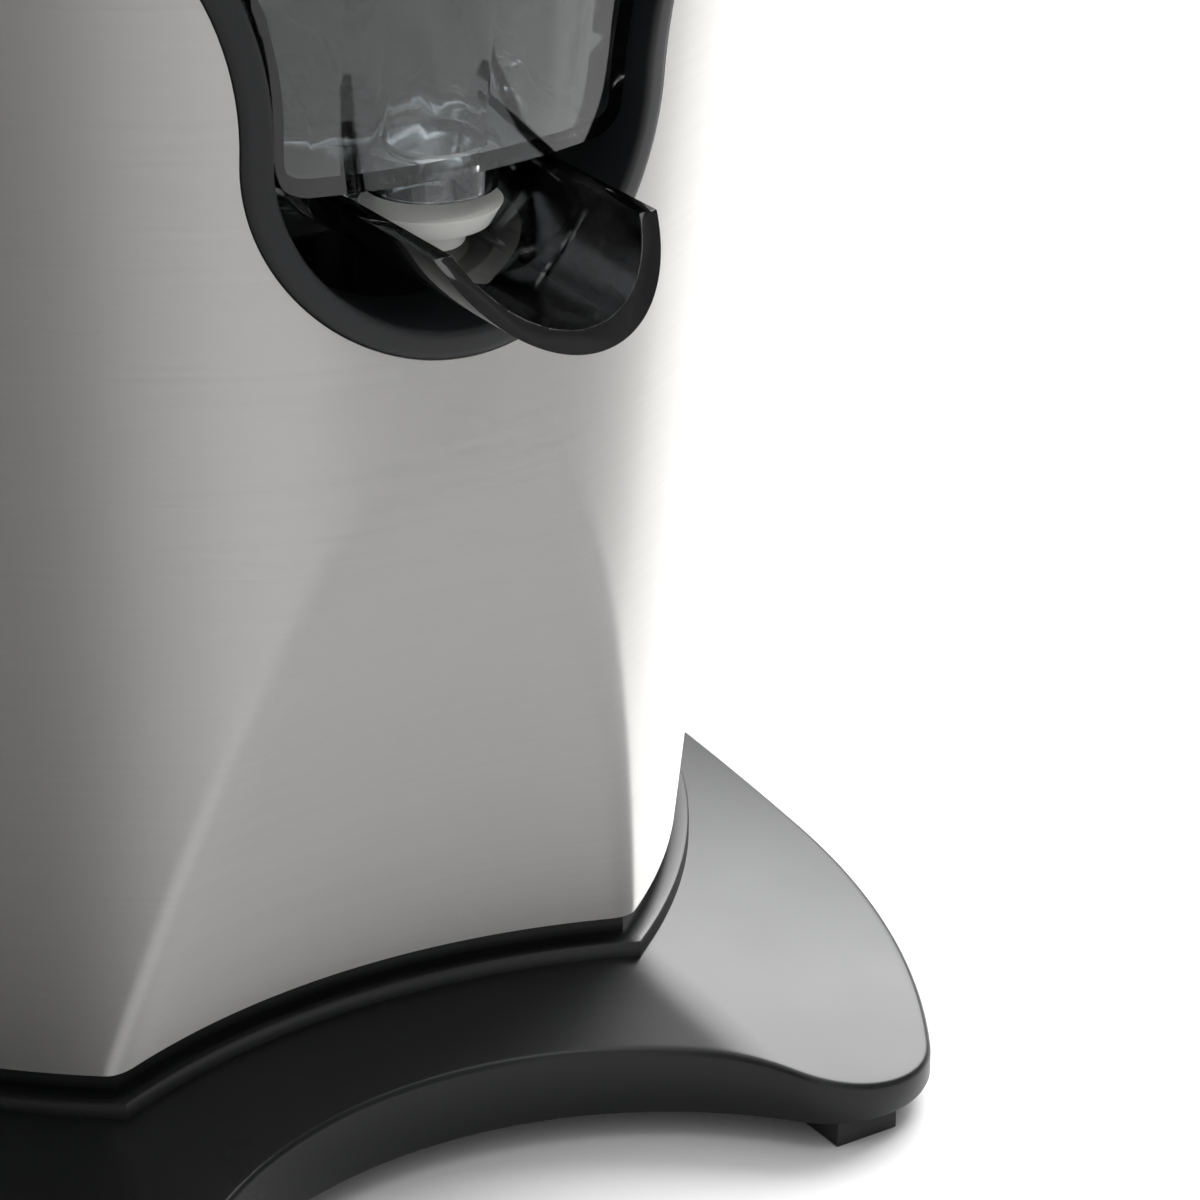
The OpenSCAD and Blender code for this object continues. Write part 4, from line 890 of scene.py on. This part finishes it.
class PRESS_OT_stage(bpy.types.Operator):
    """White floor, soft lights, a surround whose brightness varies by direction, and the camera"""

    bl_idname = "press.stage"
    bl_label = "Stage"

    # camera's place from the middle of the body on the table, and where it points
    camera_place = Vector((-0.2640, -0.5426, 0.3226))
    camera_turn = math.radians(33.0)
    camera_dip = math.radians(24.81)
    camera_view = math.radians(14.55)
    # brightness of the studio walls by direction, in degrees from the front towards +X
    surround = ((-179, 0.5), (-120, 0.22), (-62, 0.03), (-43, 0.03), (-39, 1.0), (-6, 1.0), (13, 0.34),
                (22, 0.3), (40, 0.46), (56, 0.26), (90, 0.26), (106, 0.7), (150, 0.6), (179, 0.4))
    # name, place, aim, width in metres, power in watts
    lamps = (("key_softbox", (0.95, 0.4, 0.9), (0.25, 0.1, 0.0), 0.9, 26.0),
             ("top_softbox", (0.25, -0.2, 1.3), (0.1, 0.0, 0.0), 0.9, 5.0))

    def execute(self, context):
        self.floor()
        self.lights()
        self.camera()
        return {"FINISHED"}

    def floor(self):
        material, tree = blank("white_sweep")
        place = add_node(tree, "ShaderNodeTexCoord")
        cloud = add_node(tree, "ShaderNodeTexNoise", {"Scale": 3.0}, {"Vector": place.outputs["Object"]})
        shade = tint(tree, cloud.outputs[0], linear("#E6E6E6"), 0.01)
        shader = add_node(tree, "ShaderNodeBsdfPrincipled", {"Roughness": 0.6, "IOR": 1.3},
                          {"Base Color": shade.outputs[2]})
        close(tree, shader)
        half, n = 3.0, 4
        points = [(-half + 2 * half * i / n, -half + 2 * half * j / n, 0.0)
                  for j in range(n + 1) for i in range(n + 1)]
        faces = [(j * (n + 1) + i, j * (n + 1) + i + 1, (j + 1) * (n + 1) + i + 1, (j + 1) * (n + 1) + i)
                 for j in range(n) for i in range(n)]
        mesh = bpy.data.meshes.new("floor")
        mesh.from_pydata(points, [], faces)
        mesh.materials.append(material)
        floor = bpy.data.objects.new("floor", mesh)
        bpy.context.scene.collection.objects.link(floor)

    def lights(self):
        world = bpy.data.worlds.new("studio")
        world.use_nodes = True
        bpy.context.scene.world = world
        tree = world.node_tree
        place = add_node(tree, "ShaderNodeTexCoord")
        parts = add_node(tree, "ShaderNodeSeparateXYZ", links={0: place.outputs["Generated"]})
        ahead = add_node(tree, "ShaderNodeMath", {"operation": "MULTIPLY", 1: -1.0},
                         {0: parts.outputs["Y"]})
        turn = add_node(tree, "ShaderNodeMath", {"operation": "ARCTAN2"},
                        {0: parts.outputs["X"], 1: ahead.outputs[0]})
        share = add_node(tree, "ShaderNodeMapRange", {"From Min": -math.pi, "From Max": math.pi},
                         {"Value": turn.outputs[0]})
        ramp = add_node(tree, "ShaderNodeValToRGB", links={0: share.outputs[0]})
        stops = ramp.color_ramp.elements
        for degrees, grey in self.surround:
            stop = stops.new((degrees + 180) / 360)
            stop.color = (grey, grey, grey, 1.0)
        stops.remove(stops[-1])
        stops.remove(stops[0])
        background = tree.nodes["Background"]
        background.inputs["Strength"].default_value = 1.1
        tree.links.new(ramp.outputs[0], background.inputs["Color"])
        for name, place, aim, size, power in self.lamps:
            light = bpy.data.lights.new(name, "AREA")
            light.size = size
            light.energy = power
            lamp = bpy.data.objects.new(name, light)
            lamp.location = place
            lamp.rotation_euler = (Vector(aim) - Vector(place)).to_track_quat("-Z", "Y").to_euler()
            bpy.context.scene.collection.objects.link(lamp)
        # plain display curve, so that the pale floor comes out white
        bpy.context.scene.view_settings.view_transform = "Standard"

    def camera(self):
        data = bpy.data.cameras.new("view")
        data.sensor_width = 36.0
        data.lens_unit = "FOV"
        data.angle = self.camera_view
        data.clip_start = 0.01
        camera = bpy.data.objects.new("view", data)
        camera.location = self.camera_place + Vector((0.0, MIDDLE_Y * MM, 0.0))
        camera.rotation_euler = (math.pi / 2 - self.camera_dip, 0.0, -self.camera_turn)
        bpy.context.scene.collection.objects.link(camera)
        bpy.context.scene.camera = camera


class PRESS_PT_panel(bpy.types.Panel):
    """Lists the press's pieces"""

    bl_idname = "PRESS_PT_panel"
    bl_label = "Citrus press"
    bl_space_type = "VIEW_3D"
    bl_region_type = "UI"
    bl_category = "Citrus press"

    def draw(self, context):
        for group in (context.scene.press_sizes, context.scene.press_finishes):
            box = self.layout.box()
            for key in group.__annotations__:
                box.prop(group, key)
        for operator in OPERATORS:
            self.layout.operator(operator.bl_idname)


OPERATORS = (
    PRESS_OT_stage, PRESS_OT_inner_parts, PRESS_OT_steel_body, PRESS_OT_bezel, PRESS_OT_base,
    PRESS_OT_feet, PRESS_OT_bowl, PRESS_OT_spout, PRESS_OT_valve, PRESS_OT_top, PRESS_OT_reamer,
    PRESS_OT_arm,
)
CLASSES = (PressSizes, PressFinishes) + OPERATORS + (PRESS_PT_panel,)


def register():
    for cls in CLASSES:
        bpy.utils.register_class(cls)
    bpy.types.Scene.press_sizes = bpy.props.PointerProperty(type=PressSizes)
    bpy.types.Scene.press_finishes = bpy.props.PointerProperty(type=PressFinishes)


def unregister():
    del bpy.types.Scene.press_finishes
    del bpy.types.Scene.press_sizes
    for cls in reversed(CLASSES):
        bpy.utils.unregister_class(cls)


def main():
    register()
    for operator in OPERATORS:
        group, name = operator.bl_idname.split(".")
        getattr(getattr(bpy.ops, group), name)()


if __name__ == "__main__":
    main()
